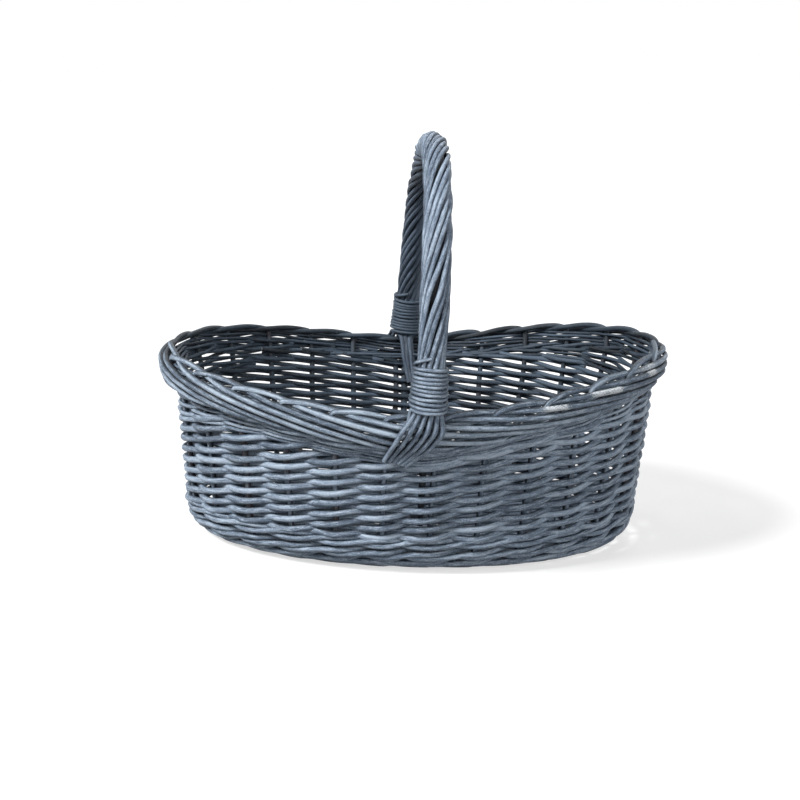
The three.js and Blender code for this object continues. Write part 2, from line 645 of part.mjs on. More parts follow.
const stickRooms = [];
const longBores = [];
for (let i = 0; i < LONG_STICK_COUNT; i += 1) {
  const y = (i - (LONG_STICK_COUNT - 1) / 2) * LONG_STICK_SPACING;
  const reach = stickReach(BASE_EDGE_HALF_LENGTH, BASE_EDGE_HALF_WIDTH, y);
  const from = new THREE.Vector3(-reach, y, STICK_HEIGHT);
  const to = new THREE.Vector3(reach, y, STICK_HEIGHT);
  const radius = LONG_STICK_DIAMETER / 2;
  const stick = taperGeometry(from, to, radius, radius, STICK_SIDES);
  addPiece(baseGroup, `base_long_stick_${i + 1}`, "stick", stick);
  const room = stickRoom(from, to, radius);
  stickRooms.push(room);
  longBores.push(room);
}
for (let i = 0; i < SHORT_STICK_COUNT; i += 1) {
  const x = (i - (SHORT_STICK_COUNT - 1) / 2) * SHORT_STICK_SPACING;
  const reach = stickReach(BASE_EDGE_HALF_WIDTH, BASE_EDGE_HALF_LENGTH, x);
  const from = new THREE.Vector3(x, -reach, STICK_HEIGHT);
  const to = new THREE.Vector3(x, reach, STICK_HEIGHT);
  const radius = SHORT_STICK_DIAMETER / 2;
  const stick = cut(taperGeometry(from, to, radius, radius, STICK_SIDES), longBores);
  addPiece(baseGroup, `base_short_stick_${i + 1}`, "stick", stick);
  stickRooms.push(stickRoom(from, to, radius));
}

const plateHalfLength = BASE_EDGE_HALF_LENGTH - CLEARANCE;
const plateHalfWidth = BASE_EDGE_HALF_WIDTH - CLEARANCE;
const plateCorners = [];
for (let i = 0; i < OVAL_CORNERS; i += 1) {
  const edge = ovalPoint(cornerStation(i), plateHalfLength, plateHalfWidth, 0);
  plateCorners.push(new THREE.Vector2(edge.x, edge.y));
}
const plateOptions = { depth: BASE_THICKNESS, bevelEnabled: false };
const plate = new THREE.ExtrudeGeometry(new THREE.Shape(plateCorners), plateOptions);
addPiece(baseGroup, "base_weave", "base", cut(plate, [...stickRooms, ...baseBores]));

export default basket;
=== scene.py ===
"""Looks of an oval wicker shopping basket: every willow rod is laid as one tapered round rod.

X runs along the basket, Y across it from front to back, Z up from the floor. Sizes are in
millimetres and become metres where a rod is laid. A station is a place round the oval, counted
in stake spacings from the first stake, near the middle of the front, towards the right end.
"""
import bisect
import math
import random

import bmesh
import bpy
from mathutils import Matrix, Quaternion, Vector, noise


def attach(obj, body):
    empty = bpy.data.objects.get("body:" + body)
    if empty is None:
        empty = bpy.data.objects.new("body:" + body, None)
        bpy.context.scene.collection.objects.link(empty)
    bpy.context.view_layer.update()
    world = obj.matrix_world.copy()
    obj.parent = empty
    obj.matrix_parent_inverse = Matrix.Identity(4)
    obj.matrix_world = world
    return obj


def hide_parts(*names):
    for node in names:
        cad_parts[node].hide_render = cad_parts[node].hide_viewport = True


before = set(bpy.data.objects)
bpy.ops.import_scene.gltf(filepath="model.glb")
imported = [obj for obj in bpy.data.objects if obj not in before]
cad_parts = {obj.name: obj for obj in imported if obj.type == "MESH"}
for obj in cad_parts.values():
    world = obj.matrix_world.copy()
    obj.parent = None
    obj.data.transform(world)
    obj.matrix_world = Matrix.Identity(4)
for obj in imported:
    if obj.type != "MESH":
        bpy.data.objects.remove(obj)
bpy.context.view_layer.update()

MM = 0.001

# Sizes of the basket, with length and width on the line of the side stakes
RIM = (421.0, 309.0)
WALL_TOP = (405.0, 272.0)
WALL_FOOT = (386.0, 231.0)
RIM_HEIGHT_MIDDLE = 143.0
RIM_HEIGHT_ENDS = 175.0
RIM_DIP_ROUND = 0.18
RIM_TILT = 7.0
STAKE_COUNT = 26
HALF_WAY = STAKE_COUNT / 2
FIRST_STAKE_OFFSET = 12.5
STAKE_FOOT_DEPTH = 13.6
STAKE_FOOT_HEIGHT = 6.9
UPSETT_RADIUS = 24.0
WALL_FOOT_HEIGHT = STAKE_FOOT_HEIGHT + UPSETT_RADIUS
FLARE_DEPTH = 38.3
BORDER_DEPTH = 19.0
OVAL_STEPS = 2880

# How far below the border's top the upper rods lie, at the middle of the back and of the front
WALE_DEPTH = (16.5, 25.2)
UPPER_WEAVE_LOW = (23.0, 37.0)
UPPER_WEAVE_END_DEPTH = 24.0
UPPER_WEAVE_HIGH = (20.0, 28.0)
RIM_WEAVE_LOW = (13.0, 21.0)
RIM_WEAVE_HIGH = (5.5, 5.5)

# Radius of the rods. A pair is for the middle of the back and of the front
SHANK_RADIUS = 2.6
BORDER_RADIUS = 2.45
BORDER_ROD_RADIUS = 2.38
BORDER_TIP_RADIUS = 1.7
WEAVER_RADIUS = (2.2, 2.8)
WEAVER_END_SWELL = 0.15
WALE_RADIUS = (1.6, 2.3)
UPSETT_ROD_RADIUS = 2.35
ROPE_RADIUS = 2.1
ROPE_TAIL_RADIUS = 2.05
INNER_TAIL_RADIUS = 1.65
BINDING_RADIUS = 1.5
BASE_ROD_RADIUS = 1.75

# Radius of the thin weavers, along the sides and at the ends of the basket
UPPER_WEAVER_RADIUS = (1.4, 2.1)
RIM_WEAVER_RADIUS = (1.5, 1.5)

# Taper of the weavers: how much of its radius a rod has at its start and at its end
WEAVER_TAPER = (1.05, 0.93)
THIN_WEAVER_TAPER = (1.0, 0.75)

# Border: how far along, out and down a turned-down stake lies. It passes inside the next stake,
# outside four more and inside the sixth, where its tip is cut off.
BORDER_PATH = (
    (0.02, 0.0, 7.0),
    (0.1, -0.5, 2.8),
    (0.27, -1.9, 0.7),
    (0.6, -4.0, 0.4),
    (1.0, -4.4, 2.2),
    (1.45, -0.5, 3.8),
    (1.9, 4.2, 4.8),
    (2.5, 6.8, 7.3),
    (3.0, 7.5, 9.8),
    (3.5, 7.7, 12.4),
    (4.0, 7.6, 14.9),
    (4.5, 7.4, 17.3),
    (5.0, 6.8, 19.5),
    (5.35, 3.4, 20.6),
    (5.7, -2.2, 20.6),
    (6.0, -4.6, 19.6),
    (6.3, -5.2, 18.0),
)
# On the left the stakes are bent more sharply, so the path starts otherwise there
KINKED_START = ((0.0, 0.0, 5.6), (0.04, -0.3, 3.0), (0.14, -1.0, 2.0), (0.55, -3.6, 1.0))
BORDER_REACH = 10.2
LEFT_END_BULGE = 4.0
LEFT_END_STRETCH = 1.2
BORDER_STRETCH = (1.0, 1.17)
RIM_LIFT = 2.0
FRONT_RIM_LIFT = 5.5
FRONT_LIFT_REACH = 0.55
LIFT_DEPTH = 27.0

# Handle
HANDLE_TOP = 352.0
HANDLE_WIDEST_RISE = 17.0
HANDLE_LEAN = 8.0
BOW_SETBACK = 8.6
BOW_SHOULDER = 3.6
BOW_RADIUS = 6.8
BOW_LEG_RADIUS = 3.6
BOW_TIP_RADIUS = 2.6
BOW_TIP_RISE = 15.0
ROPE_COUNT = 12
ROPE_RING = 9.545
ROPE_HALF = 2.25
ROPE_PLACES_TURNED = 32
ROPE_TURN = 2 * math.pi * ROPE_PLACES_TURNED / ROPE_COUNT
ROPE_TURN_START = 0.72
ROPE_FOOT_FLARE = 3.4
ROPE_FOOT_GATHER = 0.25
FOOT_SQUEEZE = 0.86
FOOT_SQUEEZE_LENGTH = 90.0
FRONT_BINDING_RISE = 9.0
BACK_BINDING_RISE = 2.8
BINDING_HEIGHT = 34.0
BINDING_TURNS = 11
BINDING_RING = 13.6
TAIL_DROP = 31.0
TAIL_TURN_RISE = 9.0
OUTER_TAIL_SPACING = (4.9, 4.3)
INNER_TAIL_SPACING = (2.0, 1.4)
INNER_TAIL_LAYER = 2.8
OUTER_TAIL_SLANT = 0.58
OUTER_TAIL_HOOK = 0.14
INNER_TAIL_SLANT = 0.18

# Camera of the photograph
LOOKED_AT = Vector((-12.11, 0.0, 118.69))
CAMERA_DISTANCE = 1338.35
CAMERA_AZIMUTH = math.radians(-1.89)
CAMERA_ELEVATION = math.radians(14.85)
CAMERA_ROLL = math.radians(2.08)
CAMERA_LENS = 68.745
CAMERA_SENSOR = 36.0

chance = random.Random(26)
SWAY_SEEDS = 90.0
STAKE_SWAY_SEEDS = 50.0
GRAIN_SEEDS = 400.0


# Places round the oval
def oval_table():
    half_length = (WALL_FOOT[0] + WALL_TOP[0]) / 4
    half_width = (WALL_FOOT[1] + WALL_TOP[1]) / 4
    angles = [-math.pi / 2 + 2 * math.pi * i / OVAL_STEPS for i in range(OVAL_STEPS + 1)]
    lengths = [0.0]
    for before, after in zip(angles, angles[1:]):
        across = half_length * (math.cos(after) - math.cos(before))
        along = half_width * (math.sin(after) - math.sin(before))
        lengths.append(lengths[-1] + math.hypot(across, along))
    return angles, lengths


OVAL_ANGLES, OVAL_LENGTHS = oval_table()
STAKE_SPACING = OVAL_LENGTHS[-1] / STAKE_COUNT


def lerp(low, high, share):
    return low + (high - low) * share


def clamp(value, low, high):
    return max(low, min(high, value))


def ease(share):
    return 0.5 - 0.5 * math.cos(math.pi * clamp(share, 0.0, 1.0))


def station_angle(station):
    wanted = (FIRST_STAKE_OFFSET + station * STAKE_SPACING) % OVAL_LENGTHS[-1]
    high = clamp(bisect.bisect_right(OVAL_LENGTHS, wanted), 1, len(OVAL_LENGTHS) - 1)
    share = (wanted - OVAL_LENGTHS[high - 1]) / (OVAL_LENGTHS[high] - OVAL_LENGTHS[high - 1])
    return lerp(OVAL_ANGLES[high - 1], OVAL_ANGLES[high], share)


def oval_point(station, half_length, half_width, height):
    angle = station_angle(station)
    return Vector((half_length * math.cos(angle), half_width * math.sin(angle), height))


def front_share(station):
    """1 at the middle of the front, 0 at the middle of the back."""
    return 0.5 - 0.5 * math.sin(station_angle(station))


def near_end(station):
    """1 at the two ends of the basket, 0 along most of the front and back."""
    return math.cos(station_angle(station)) ** 4


def on_left(station):
    """1 on the left of the basket, 0 on the right."""
    return ease(0.5 - math.cos(station_angle(station)))


def at_left_end(station):
    """1 at the left end of the basket, 0 in its middle and on the right."""
    return ease(-2 * math.cos(station_angle(station)) - 1)


def by_place(back_and_front, station):
    """A size that changes evenly from the back to the front."""
    return lerp(*back_and_front, front_share(station))


def border_top(station):
    along = math.cos(station_angle(station))
    reach = math.hypot(1, RIM_DIP_ROUND) - RIM_DIP_ROUND
    end_share = (math.hypot(along, RIM_DIP_ROUND) - RIM_DIP_ROUND) / reach
    return lerp(RIM_HEIGHT_MIDDLE, RIM_HEIGHT_ENDS, end_share) + RIM_TILT * along - BORDER_RADIUS


def rim_lift(station, depth):
    """How much higher the rods of the border stand: most at the top of the front, beside the handle."""
    angle = station_angle(station)
    middle = ease(1 - abs(math.cos(angle)) / FRONT_LIFT_REACH) if math.sin(angle) < 0 else 0.0
    lift = RIM_LIFT * (1 - near_end(station)) + FRONT_RIM_LIFT * middle
    return lift * clamp(1 - depth / LIFT_DEPTH, 0.0, 1.0)


def wall_top(station):
    return border_top(station) - FLARE_DEPTH


def turn_point(station, turn, out):
    """A place on the round turn from the base, where turn is 0, to the wall, where it is 1."""
    swing = turn * math.pi / 2
    reach = (UPSETT_RADIUS + out) * math.sin(swing) - UPSETT_RADIUS
    height = WALL_FOOT_HEIGHT - (UPSETT_RADIUS + out) * math.cos(swing)
    return oval_point(station, WALL_FOOT[0] / 2 + reach, WALL_FOOT[1] / 2 + reach, height)


def wall_point(station, height, out):
    """A place so far out of the wall's middle, which leans out more above its top."""
    top = wall_top(station)
    if height > top:
        share = (height - top) / (border_top(station) - top)
        low, high = WALL_TOP, RIM
    else:
        share = (height - WALL_FOOT_HEIGHT) / (top - WALL_FOOT_HEIGHT)
        low, high = WALL_FOOT, WALL_TOP
    half_length = lerp(low[0], high[0], share) / 2
    half_width = lerp(low[1], high[1], share) / 2
    return oval_point(station, half_length + out, half_width + out, height)


# Legs of the bow, each on the left of a stake: their width in stake spacings, and how far they push
# a weaver out
LEG_STAKES = (0, STAKE_COUNT // 2)
LEG_WIDTH = 0.22
LEG_SWELL = 1.3
LEG_SWELL_REACH = 0.5


def weave_phase(station):
    """Stakes passed at a station. A stake with a leg of the bow on its left counts as one wide stake."""
    stake = math.floor(station)
    low = float(stake)
    high = stake + 1 - (LEG_WIDTH if (stake + 1) % STAKE_COUNT in LEG_STAKES else 0.0)
    return stake + clamp((station - low) / (high - low), 0.0, 1.0)


def leg_swell(station):
    """How much further out a rod lies where it passes a leg of the bow."""
    half_leg = LEG_WIDTH / 2
    away = min(abs((station + half_leg - leg + HALF_WAY) % STAKE_COUNT - HALF_WAY) for leg in LEG_STAKES)
    return LEG_SWELL * ease(1 - (away - half_leg) / LEG_SWELL_REACH)


WANDER_STRIDES = (7.31, 1.7)
WANDER_START = 0.5


def wander(seed, place, size):
    """A slow sway, the same on every run. A rod that sways in two ways adds a whole number to its
    seed for the second."""
    spot = (seed * WANDER_STRIDES[0] + WANDER_START, place, seed * WANDER_STRIDES[1])
    return size * noise.noise(Vector(spot))


LEAST_GAP = 1e-6


def smooth_path(knots, steps):
    """A rounded line through the knots, with the given number of steps between two of them."""
    ends = [2 * knots[0] - knots[1], *knots, 2 * knots[-1] - knots[-2]]
    line = []
    for i in range(1, len(ends) - 2):
        a, b, c, d = ends[i - 1 : i + 3]
        gaps = [max((q - p).length ** 0.5, LEAST_GAP) for p, q in ((a, b), (b, c), (c, d))]
        way_in = (b - a) / gaps[0] - (c - a) / (gaps[0] + gaps[1]) + (c - b) / gaps[1]
        way_out = (c - b) / gaps[1] - (d - b) / (gaps[1] + gaps[2]) + (d - c) / gaps[2]
        way_in *= gaps[1]
        way_out *= gaps[1]
        for step in range(steps):
            t = step / steps
            cubic = 2 * (b - c) + way_in + way_out
            square = 3 * (c - b) - 2 * way_in - way_out
            line.append(((cubic * t + square) * t + way_in) * t + b)
    line.append(ends[-2])
    return line


# Rods
RING_SIDES = 8
ROD_LUMPS = 0.12
ROD_LUMP_LENGTH = 60.0
# The last mark says how far a side of a rod faces out of the basket: the finishes make it chalk wash and
# painted highlight, or inner stain and painted shade
MARKS = ("tone", "bare", "worn", "cut", "wash_and_painted_light")
# Half axes of an egg-shaped hull round the basket, whose sides are upright below its middle
EGG = (200.0, 150.0, 190.0)
EGG_MIDDLE_HEIGHT = 165.0


def outward(point):
    """The way out of the basket at a place: level at the wall, upwards along the handle. Sides of a rod
    that face along it are finished pale, as chalk wash and painted highlight. Sides turned away from it,
    inside the basket, between rods and under the handle, get a dark inner colour, as darker stain and
    painted shade.
    """
    above = max(point.z - EGG_MIDDLE_HEIGHT, 0)
    places = zip((point.x, point.y, above), EGG)
    return Vector([place / half_axis**2 for place, half_axis in places]).normalized()


class Rod:
    """One willow rod: its line, its thickness at each share of its length, and its marks at each ring."""

    def __init__(self, line, radius, bare=None, worn=None, tone=None):
        self.line = line
        self.radius = radius
        self.bare = bare or (lambda ring: 0.0)
        self.worn = worn or (lambda ring: 0.0)
        self.tone = chance.random() if tone is None else tone
        self.seed = chance.uniform(0.0, GRAIN_SEEDS)


def ring_radii(radii):
    """The thickness of a rod, from a list with one radius for each ring."""
    return lambda share: radii[round(share * (len(radii) - 1))]


def ring_frames(line):
    """Where each ring of a rod stands, turned from one to the next without twist."""
    frames = []
    way = (line[1] - line[0]).normalized()
    side = way.orthogonal().normalized()
    for i, point in enumerate(line):
        next_way = (line[min(i + 1, len(line) - 1)] - line[max(i - 1, 0)]).normalized()
        side = way.rotation_difference(next_way) @ side
        side = (side - next_way * side.dot(next_way)).normalized()
        way = next_way
        turned = Matrix((side, way.cross(side), way)).transposed().to_4x4()
        frames.append(Matrix.Translation(point * MM) @ turned)
    return frames


def lay_rod(bm, rod):
    grain = bm.verts.layers.float_vector["grain"]
    marks = [bm.verts.layers.float[name] for name in MARKS]
    frames = ring_frames(rod.line)
    lengths = [0.0]
    for before, after in zip(rod.line, rod.line[1:]):
        lengths.append(lengths[-1] + (after - before).length)

    def mark(verts, i, cut):
        back = frames[i].inverted()
        out = outward(rod.line[i])
        for vert in verts:
            local = back @ vert.co / MM
            vert[grain] = Vector((local.x + rod.seed, local.y, lengths[i] + rod.seed))
            # Outward sides are finished pale (chalk wash and painted highlight); inward, upper and lower
            # sides dark (inner stain and painted shade in crevices and inside)
            wash_and_painted_light = (vert.co / MM - rod.line[i]).normalized().dot(out)
            for layer, value in zip(marks, (rod.tone, rod.bare(i), rod.worn(i), cut, wash_and_painted_light)):
                vert[layer] = value

    def sized(i):
        lumps = wander(rod.seed, lengths[i] / ROD_LUMP_LENGTH, ROD_LUMPS)
        radius = rod.radius(lengths[i] / lengths[-1]) * (1 + lumps)
        return frames[i] @ Matrix.Scale(radius * MM, 4)

    def next_ring(edges, move):
        made = bmesh.ops.extrude_edge_only(bm, edges=edges)["geom"]
        verts = [part for part in made if isinstance(part, bmesh.types.BMVert)]
        fresh = set(verts)
        bmesh.ops.transform(bm, matrix=move, verts=verts)
        made_edges = [part for part in made if isinstance(part, bmesh.types.BMEdge)]
        return verts, [edge for edge in made_edges if fresh.issuperset(edge.verts)]

    def close(edges, i):
        verts, rim = next_ring(edges, Matrix.Identity(4))
        mark(verts, i, 1.0)
        for edge in edges:
            edge.smooth = False
        bmesh.ops.edgeloop_fill(bm, edges=rim)

    sizes = [sized(i) for i in range(len(frames))]
    start = bmesh.ops.create_circle(bm, segments=RING_SIDES, radius=1.0, matrix=sizes[0])["verts"]
    mark(start, 0, 0.0)
    first = list(dict.fromkeys(edge for vert in start for edge in vert.link_edges))
    edges = first
    for i in range(1, len(frames)):
        verts, edges = next_ring(edges, sizes[i] @ sizes[i - 1].inverted())
        mark(verts, i, 0.0)
    close(edges, len(frames) - 1)
    close(first, 0)


def lay_piece(name, finish, nodes, rods):
    """Makes one piece of willow rods, in place of the plain solids that it stands for."""
    mesh = bpy.data.meshes.new(name)
    for rod in rods:
        bm = bmesh.new()
        bm.verts.layers.float_vector.new("grain")
        for mark in MARKS:
            bm.verts.layers.float.new(mark)
        lay_rod(bm, rod)
        bmesh.ops.recalc_face_normals(bm, faces=bm.faces)
        for face in bm.faces:
            face.smooth = True
        bm.from_mesh(mesh)
        bm.to_mesh(mesh)
        bm.free()
    mesh.materials.append(finish)
    piece = bpy.data.objects.new(name, mesh)
    bpy.context.scene.collection.objects.link(piece)
    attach(piece, "root")
    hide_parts(*nodes)


# Finishes
GRAIN_DEPTH = 0.6
WILLOW_SHINE = 0.35
# Inner colours, for sides turned into the basket and into the crevices between rods: a darker stain, and
# painted shade
INNER_STAIN_AND_SHADE = ("#1a222b", "#4b5968")
DEEP_STAIN_AND_SHADE = ("#10161c", "#3c4854")
ROPE_STAIN_AND_SHADE = ("#161d25", "#5a6879")
BARE_WOOD = "#3a3234"
# Near-black for the bow: painted shade in the rope's hollow, not bare willow's own colour
BOW_PAINTED_SHADE = "#1b1f24"
CHALK_FLECK = "#c3ccd4"
WORN_WOOD = "#d3d9dd"
CUT_END = "#54575b"


def stain(code):
    """A colour written as it looks, as the light that it gives back."""
    parts = [int(code[i : i + 2], 16) / 255 for i in (1, 3, 5)]
    return (*[c / 12.92 if c <= 0.04045 else ((c + 0.055) / 1.055) ** 2.4 for c in parts], 1.0)


def grey(light):
    return (light, light, light, 1.0)


class Value:
    """A value that changes over a finish. A sum written with it adds its Math nodes."""

    def __init__(self, finish, socket):
        self.finish = finish
        self.socket = socket

    def maths(self, operation, first, second):
        return self.finish.add("ShaderNodeMath", {"operation": operation}, {0: first, 1: second})

    def __add__(self, other):
        return self.maths("ADD", self, other)

    def __radd__(self, other):
        return self.maths("ADD", other, self)

    def __mul__(self, other):
        return self.maths("MULTIPLY", self, other)

    def __rmul__(self, other):
        return self.maths("MULTIPLY", other, self)


class Finish:
    """The nodes of a material or of the world, and the one method that adds them."""

    def __init__(self, owner):
        self.owner = owner
        owner.use_nodes = True
        self.tree = owner.node_tree
        self.tree.nodes.clear()

    def add(self, kind, settings, sockets, output=0):
        node = self.tree.nodes.new(kind)
        for key, setting in settings.items():
            setattr(node, key, setting)
        for key, value in sockets.items():
            if isinstance(value, Value):
                self.tree.links.new(value.socket, node.inputs[key])
            else:
                node.inputs[key].default_value = value
        return Value(self, node.outputs[output]) if node.outputs else None

    def mix(self, share, first, second):
        settings = {"data_type": "RGBA", "clamp_factor": True}
        return self.add("ShaderNodeMix", settings, {0: share, 6: first, 7: second}, 2)

    def band(self, value, low, high):
        """0 below the low value, 1 above the high one."""
        settings = {"clamp": True, "interpolation_type": "SMOOTHSTEP"}
        return self.add("ShaderNodeMapRange", settings, {0: value, 1: low, 2: high, 3: 0.0, 4: 1.0})

    def mark(self, name):
        return self.add("ShaderNodeAttribute", {"attribute_name": name}, {}, 2)

    def grain_noise(self, across, along, detail, roughness=0.5):
        """Noise drawn out along a rod: so many grains a millimetre across it and along it."""
        grain = self.add("ShaderNodeAttribute", {"attribute_name": "grain"}, {}, 1)
        settings = {"operation": "MULTIPLY"}
        drawn = self.add("ShaderNodeVectorMath", settings, {0: grain, 1: (across, across, along)})
        sockets = {"Vector": drawn, "Scale": 1.0, "Detail": detail, "Roughness": roughness}
        return self.add("ShaderNodeTexNoise", {"noise_dimensions": "3D"}, sockets)

    def surface(self, colour, roughness, height):
        sockets = {"Strength": 1.0, "Distance": GRAIN_DEPTH * MM, "Height": height}
        bump = self.add("ShaderNodeBump", {}, sockets)
        sockets = {"Base Color": colour, "Roughness": roughness, "Normal": bump}
        sockets |= {"Specular IOR Level": WILLOW_SHINE}
        shader = self.add("ShaderNodeBsdfPrincipled", {}, sockets)
        self.add("ShaderNodeOutputMaterial", {}, {"Surface": shader})
        return self.owner

    def seen(self):
        """1 where the eye looks, straight on, in a shine or through a clear thing; 0 for other light."""
        ways = ("Camera", "Glossy", "Transmission")
        rays = [self.add("ShaderNodeLightPath", {}, {}, f"Is {way} Ray") for way in ways]
        return self.band(rays[0] + rays[1] + rays[2], 0.0, 1.0)


def willow_finish(name, dark, middle, pale, wash_and_light_band=(0.5, 1.3), inner_stain_and_shade=INNER_STAIN_AND_SHADE, bare_wood_and_painted_shade=BARE_WOOD):
    """Willow stained slate grey and washed chalky on the outside: streaked along the rod, in patches and
    finely speckled. Sides that face out of the basket take the pale colours, partly chalk wash and partly
    painted highlight on the crests. Sides turned in, and the upper and lower sides where rods meet, take
    the dark inner colours, partly a darker stain inside and partly painted shade in the crevices, inside
    the basket and under the handle. The two numbers of the wash say how far out of the basket a rod has to
    face for the wash to begin and to be full."""
    finish = Finish(bpy.data.materials.new(name))
    streaks = finish.grain_noise(across=1.2, along=0.025, detail=4.0, roughness=0.6)
    blotches = finish.grain_noise(across=0.12, along=0.025, detail=3.0)
    flecks = finish.grain_noise(across=2.2, along=0.8, detail=2.0, roughness=0.6)
    brushed = finish.grain_noise(across=0.7, along=0.12, detail=3.0, roughness=0.65)
    tone = finish.mark("tone")
    shade = finish.band(0.6 * streaks + 0.5 * flecks + 0.7 * brushed + 0.45 * tone, 0.78, 1.4)
    inner_colour_and_painted_shade = finish.mix(shade, *map(stain, inner_stain_and_shade))
    colour = finish.mix(shade, stain(dark), stain(middle))
    chalk = finish.band(0.5 * blotches + 0.6 * flecks + 0.8 * brushed + 0.2 * tone, 0.93, 1.3)
    colour = finish.mix(chalk, colour, stain(pale))
    # Chalk wash and painted highlight on outward sides; dark inner stain and painted shade on inward sides
    # and in crevices
    wash_and_painted_light = finish.band(finish.mark("wash_and_painted_light") + 0.4 * blotches + 0.2 * flecks + 0.3 * brushed, *wash_and_light_band)
    colour = finish.mix(wash_and_painted_light, inner_colour_and_painted_shade, colour)
    rubbed = finish.mark("bare") * finish.band(blotches + 0.3 * streaks + 0.3 * tone, 0.72, 1.05)
    colour = finish.mix(rubbed, colour, stain(bare_wood_and_painted_shade))
    speckled = finish.band(flecks, 0.66, 0.76) * wash_and_painted_light * 0.6
    colour = finish.mix(speckled, colour, stain(CHALK_FLECK))
    worn = finish.band(finish.mark("worn") + 2.2 * flecks + 1.4 * blotches + 0.6 * streaks, 2.75, 3.35)
    colour = finish.mix(worn, colour, stain(WORN_WOOD))
    colour = finish.mix(finish.mark("cut"), colour, stain(CUT_END))
    return finish.surface(colour, roughness=0.45 + 0.3 * streaks, height=streaks + 0.4 * flecks)


# Stakes: the wash begins further out and the inner colour is darker, painting deeper shade in the crevices
# between stakes and weavers
STAKE_FINISH = willow_finish(
    "stained_willow_stakes", "#485565", "#8292a5", "#a9b7c5", wash_and_light_band=(0.6, 1.4), inner_stain_and_shade=DEEP_STAIN_AND_SHADE
)
WEAVER_FINISH = willow_finish("stained_willow_weavers", "#4a5767", "#8595a8", "#a8b6c5")
WALE_FINISH = willow_finish("stained_willow_wale", "#485564", "#8090a3", "#a8b6c5")
BASE_FINISH = willow_finish("stained_willow_base", "#3c4855", "#687686", "#909eac")
# Rope: a dark inner colour on sides turned down under the arch and into the basket, painted shade there
ROPE_FINISH = willow_finish(
    "stained_willow_rope", "#435060", "#75859a", "#a6b5c5", wash_and_light_band=(0.62, 1.38), inner_stain_and_shade=ROPE_STAIN_AND_SHADE
)
BINDING_FINISH = willow_finish("stained_willow_binding", "#4a5767", "#8191a4", "#adbbca", wash_and_light_band=(0.5, 1.35))
# The bow is coloured near-black all over: painted shade for the dark hollow in the rope where it shows
BOW_PAINTED_SHADE_FINISH = willow_finish("willow_bow_painted_shade", "#14171c", "#20242a", "#2d3239", bare_wood_and_painted_shade=BOW_PAINTED_SHADE)


# Stakes, which make the border at the rim. A shank sways by a share of the stake spacing.
STAKE_STEPS = 5
UPSETT_KNOTS = 6
WALL_KNOTS = 8
BEND_DEPTH = 13.0
SHANK_SWAY = 0.06
SHANK_SWAY_RATE = 0.3
BORDER_SWAY_DOWN = 1.5
BORDER_SWAY_OUT = 1.7
BORDER_SWAY_RATE = 0.6
SHANK_SHARE = 0.3
TIP_SHARE = 0.75
# Where the border is worn, in stake spacings along the turned-down stake
WORN_PATCHES = {0: (1.8, 2.6), 1: (1.8, 2.8), 2: (2.3, 2.9), 3: (1.2, 2.0)}
WORN_EDGE = 0.2


def shank_knots(stake, sway):
    """A stake from its foot in the base up to the border."""
    foot = turn_point(stake, 0, 0)
    centre = Vector((0, 0, foot.z))
    knots = [foot + (centre - foot).normalized() * STAKE_FOOT_DEPTH]
    knots += [turn_point(stake, turn / UPSETT_KNOTS, 0) for turn in range(UPSETT_KNOTS + 1)]
    for i in range(1, WALL_KNOTS + 1):
        height = lerp(WALL_FOOT_HEIGHT, border_top(stake) - BORDER_DEPTH, i / WALL_KNOTS)
        aside = wander(sway, i * SHANK_SWAY_RATE, SHANK_SWAY)
        knots.append(wall_point(stake + aside, height, 0))
    knots.append(wall_point(stake, border_top(stake) - BEND_DEPTH, 0))
    return knots


def border_knots(stake, sway):
    """The same stake turned down along the border, to its cut tip."""
    left = on_left(stake)
    knots = []
    for i, way in enumerate(BORDER_PATH):
        if i < len(KINKED_START):
            way = [lerp(round_bend, kink, left) for round_bend, kink in zip(way, KINKED_START[i])]
        along, out, fall = way
        place = stake + along
        left_end = at_left_end(place)
        fall *= lerp(1.0, LEFT_END_STRETCH, left_end) * by_place(BORDER_STRETCH, place)
        fall -= rim_lift(place, fall)
        fall += wander(sway, along * BORDER_SWAY_RATE, BORDER_SWAY_DOWN) * clamp(along, 0.0, 1.0)
        out += wander(sway + 4, along * BORDER_SWAY_RATE, BORDER_SWAY_OUT) + LEFT_END_BULGE * left_end
        knots.append(wall_point(place, border_top(place) - fall, out))
    return knots


def stake_rod(stake):
    sway = chance.uniform(0.0, STAKE_SWAY_SEEDS)
    shank = shank_knots(stake, sway)
    knots = shank + border_knots(stake, sway)

    def along_at(ring):
        knot = clamp(ring / STAKE_STEPS - len(shank), 0.0, len(BORDER_PATH) - 1)
        before = min(int(knot), len(BORDER_PATH) - 2)
        return lerp(BORDER_PATH[before][0], BORDER_PATH[before + 1][0], knot - before)

    def bare(ring):
        return clamp((len(shank) + 1) - ring / STAKE_STEPS, 0.0, 1.0)

    def worn(ring):
        low, high = WORN_PATCHES.get(stake, (0.0, 0.0))
        along = along_at(ring)
        return clamp(min(along - low, high - along) / WORN_EDGE, 0.0, 1.0)

    def thickness(share):
        if share < SHANK_SHARE:
            return SHANK_RADIUS
        tip = clamp((share - TIP_SHARE) / (1 - TIP_SHARE), 0.0, 1.0)
        return lerp(BORDER_ROD_RADIUS, BORDER_TIP_RADIUS, tip)

    return Rod(smooth_path(knots, STAKE_STEPS), thickness, bare, worn)


for i in range(STAKE_COUNT):
    name = f"stake_{i + 1:02d}"
    lay_piece(f"willow_{name}", STAKE_FINISH, [name], [stake_rod(i)])


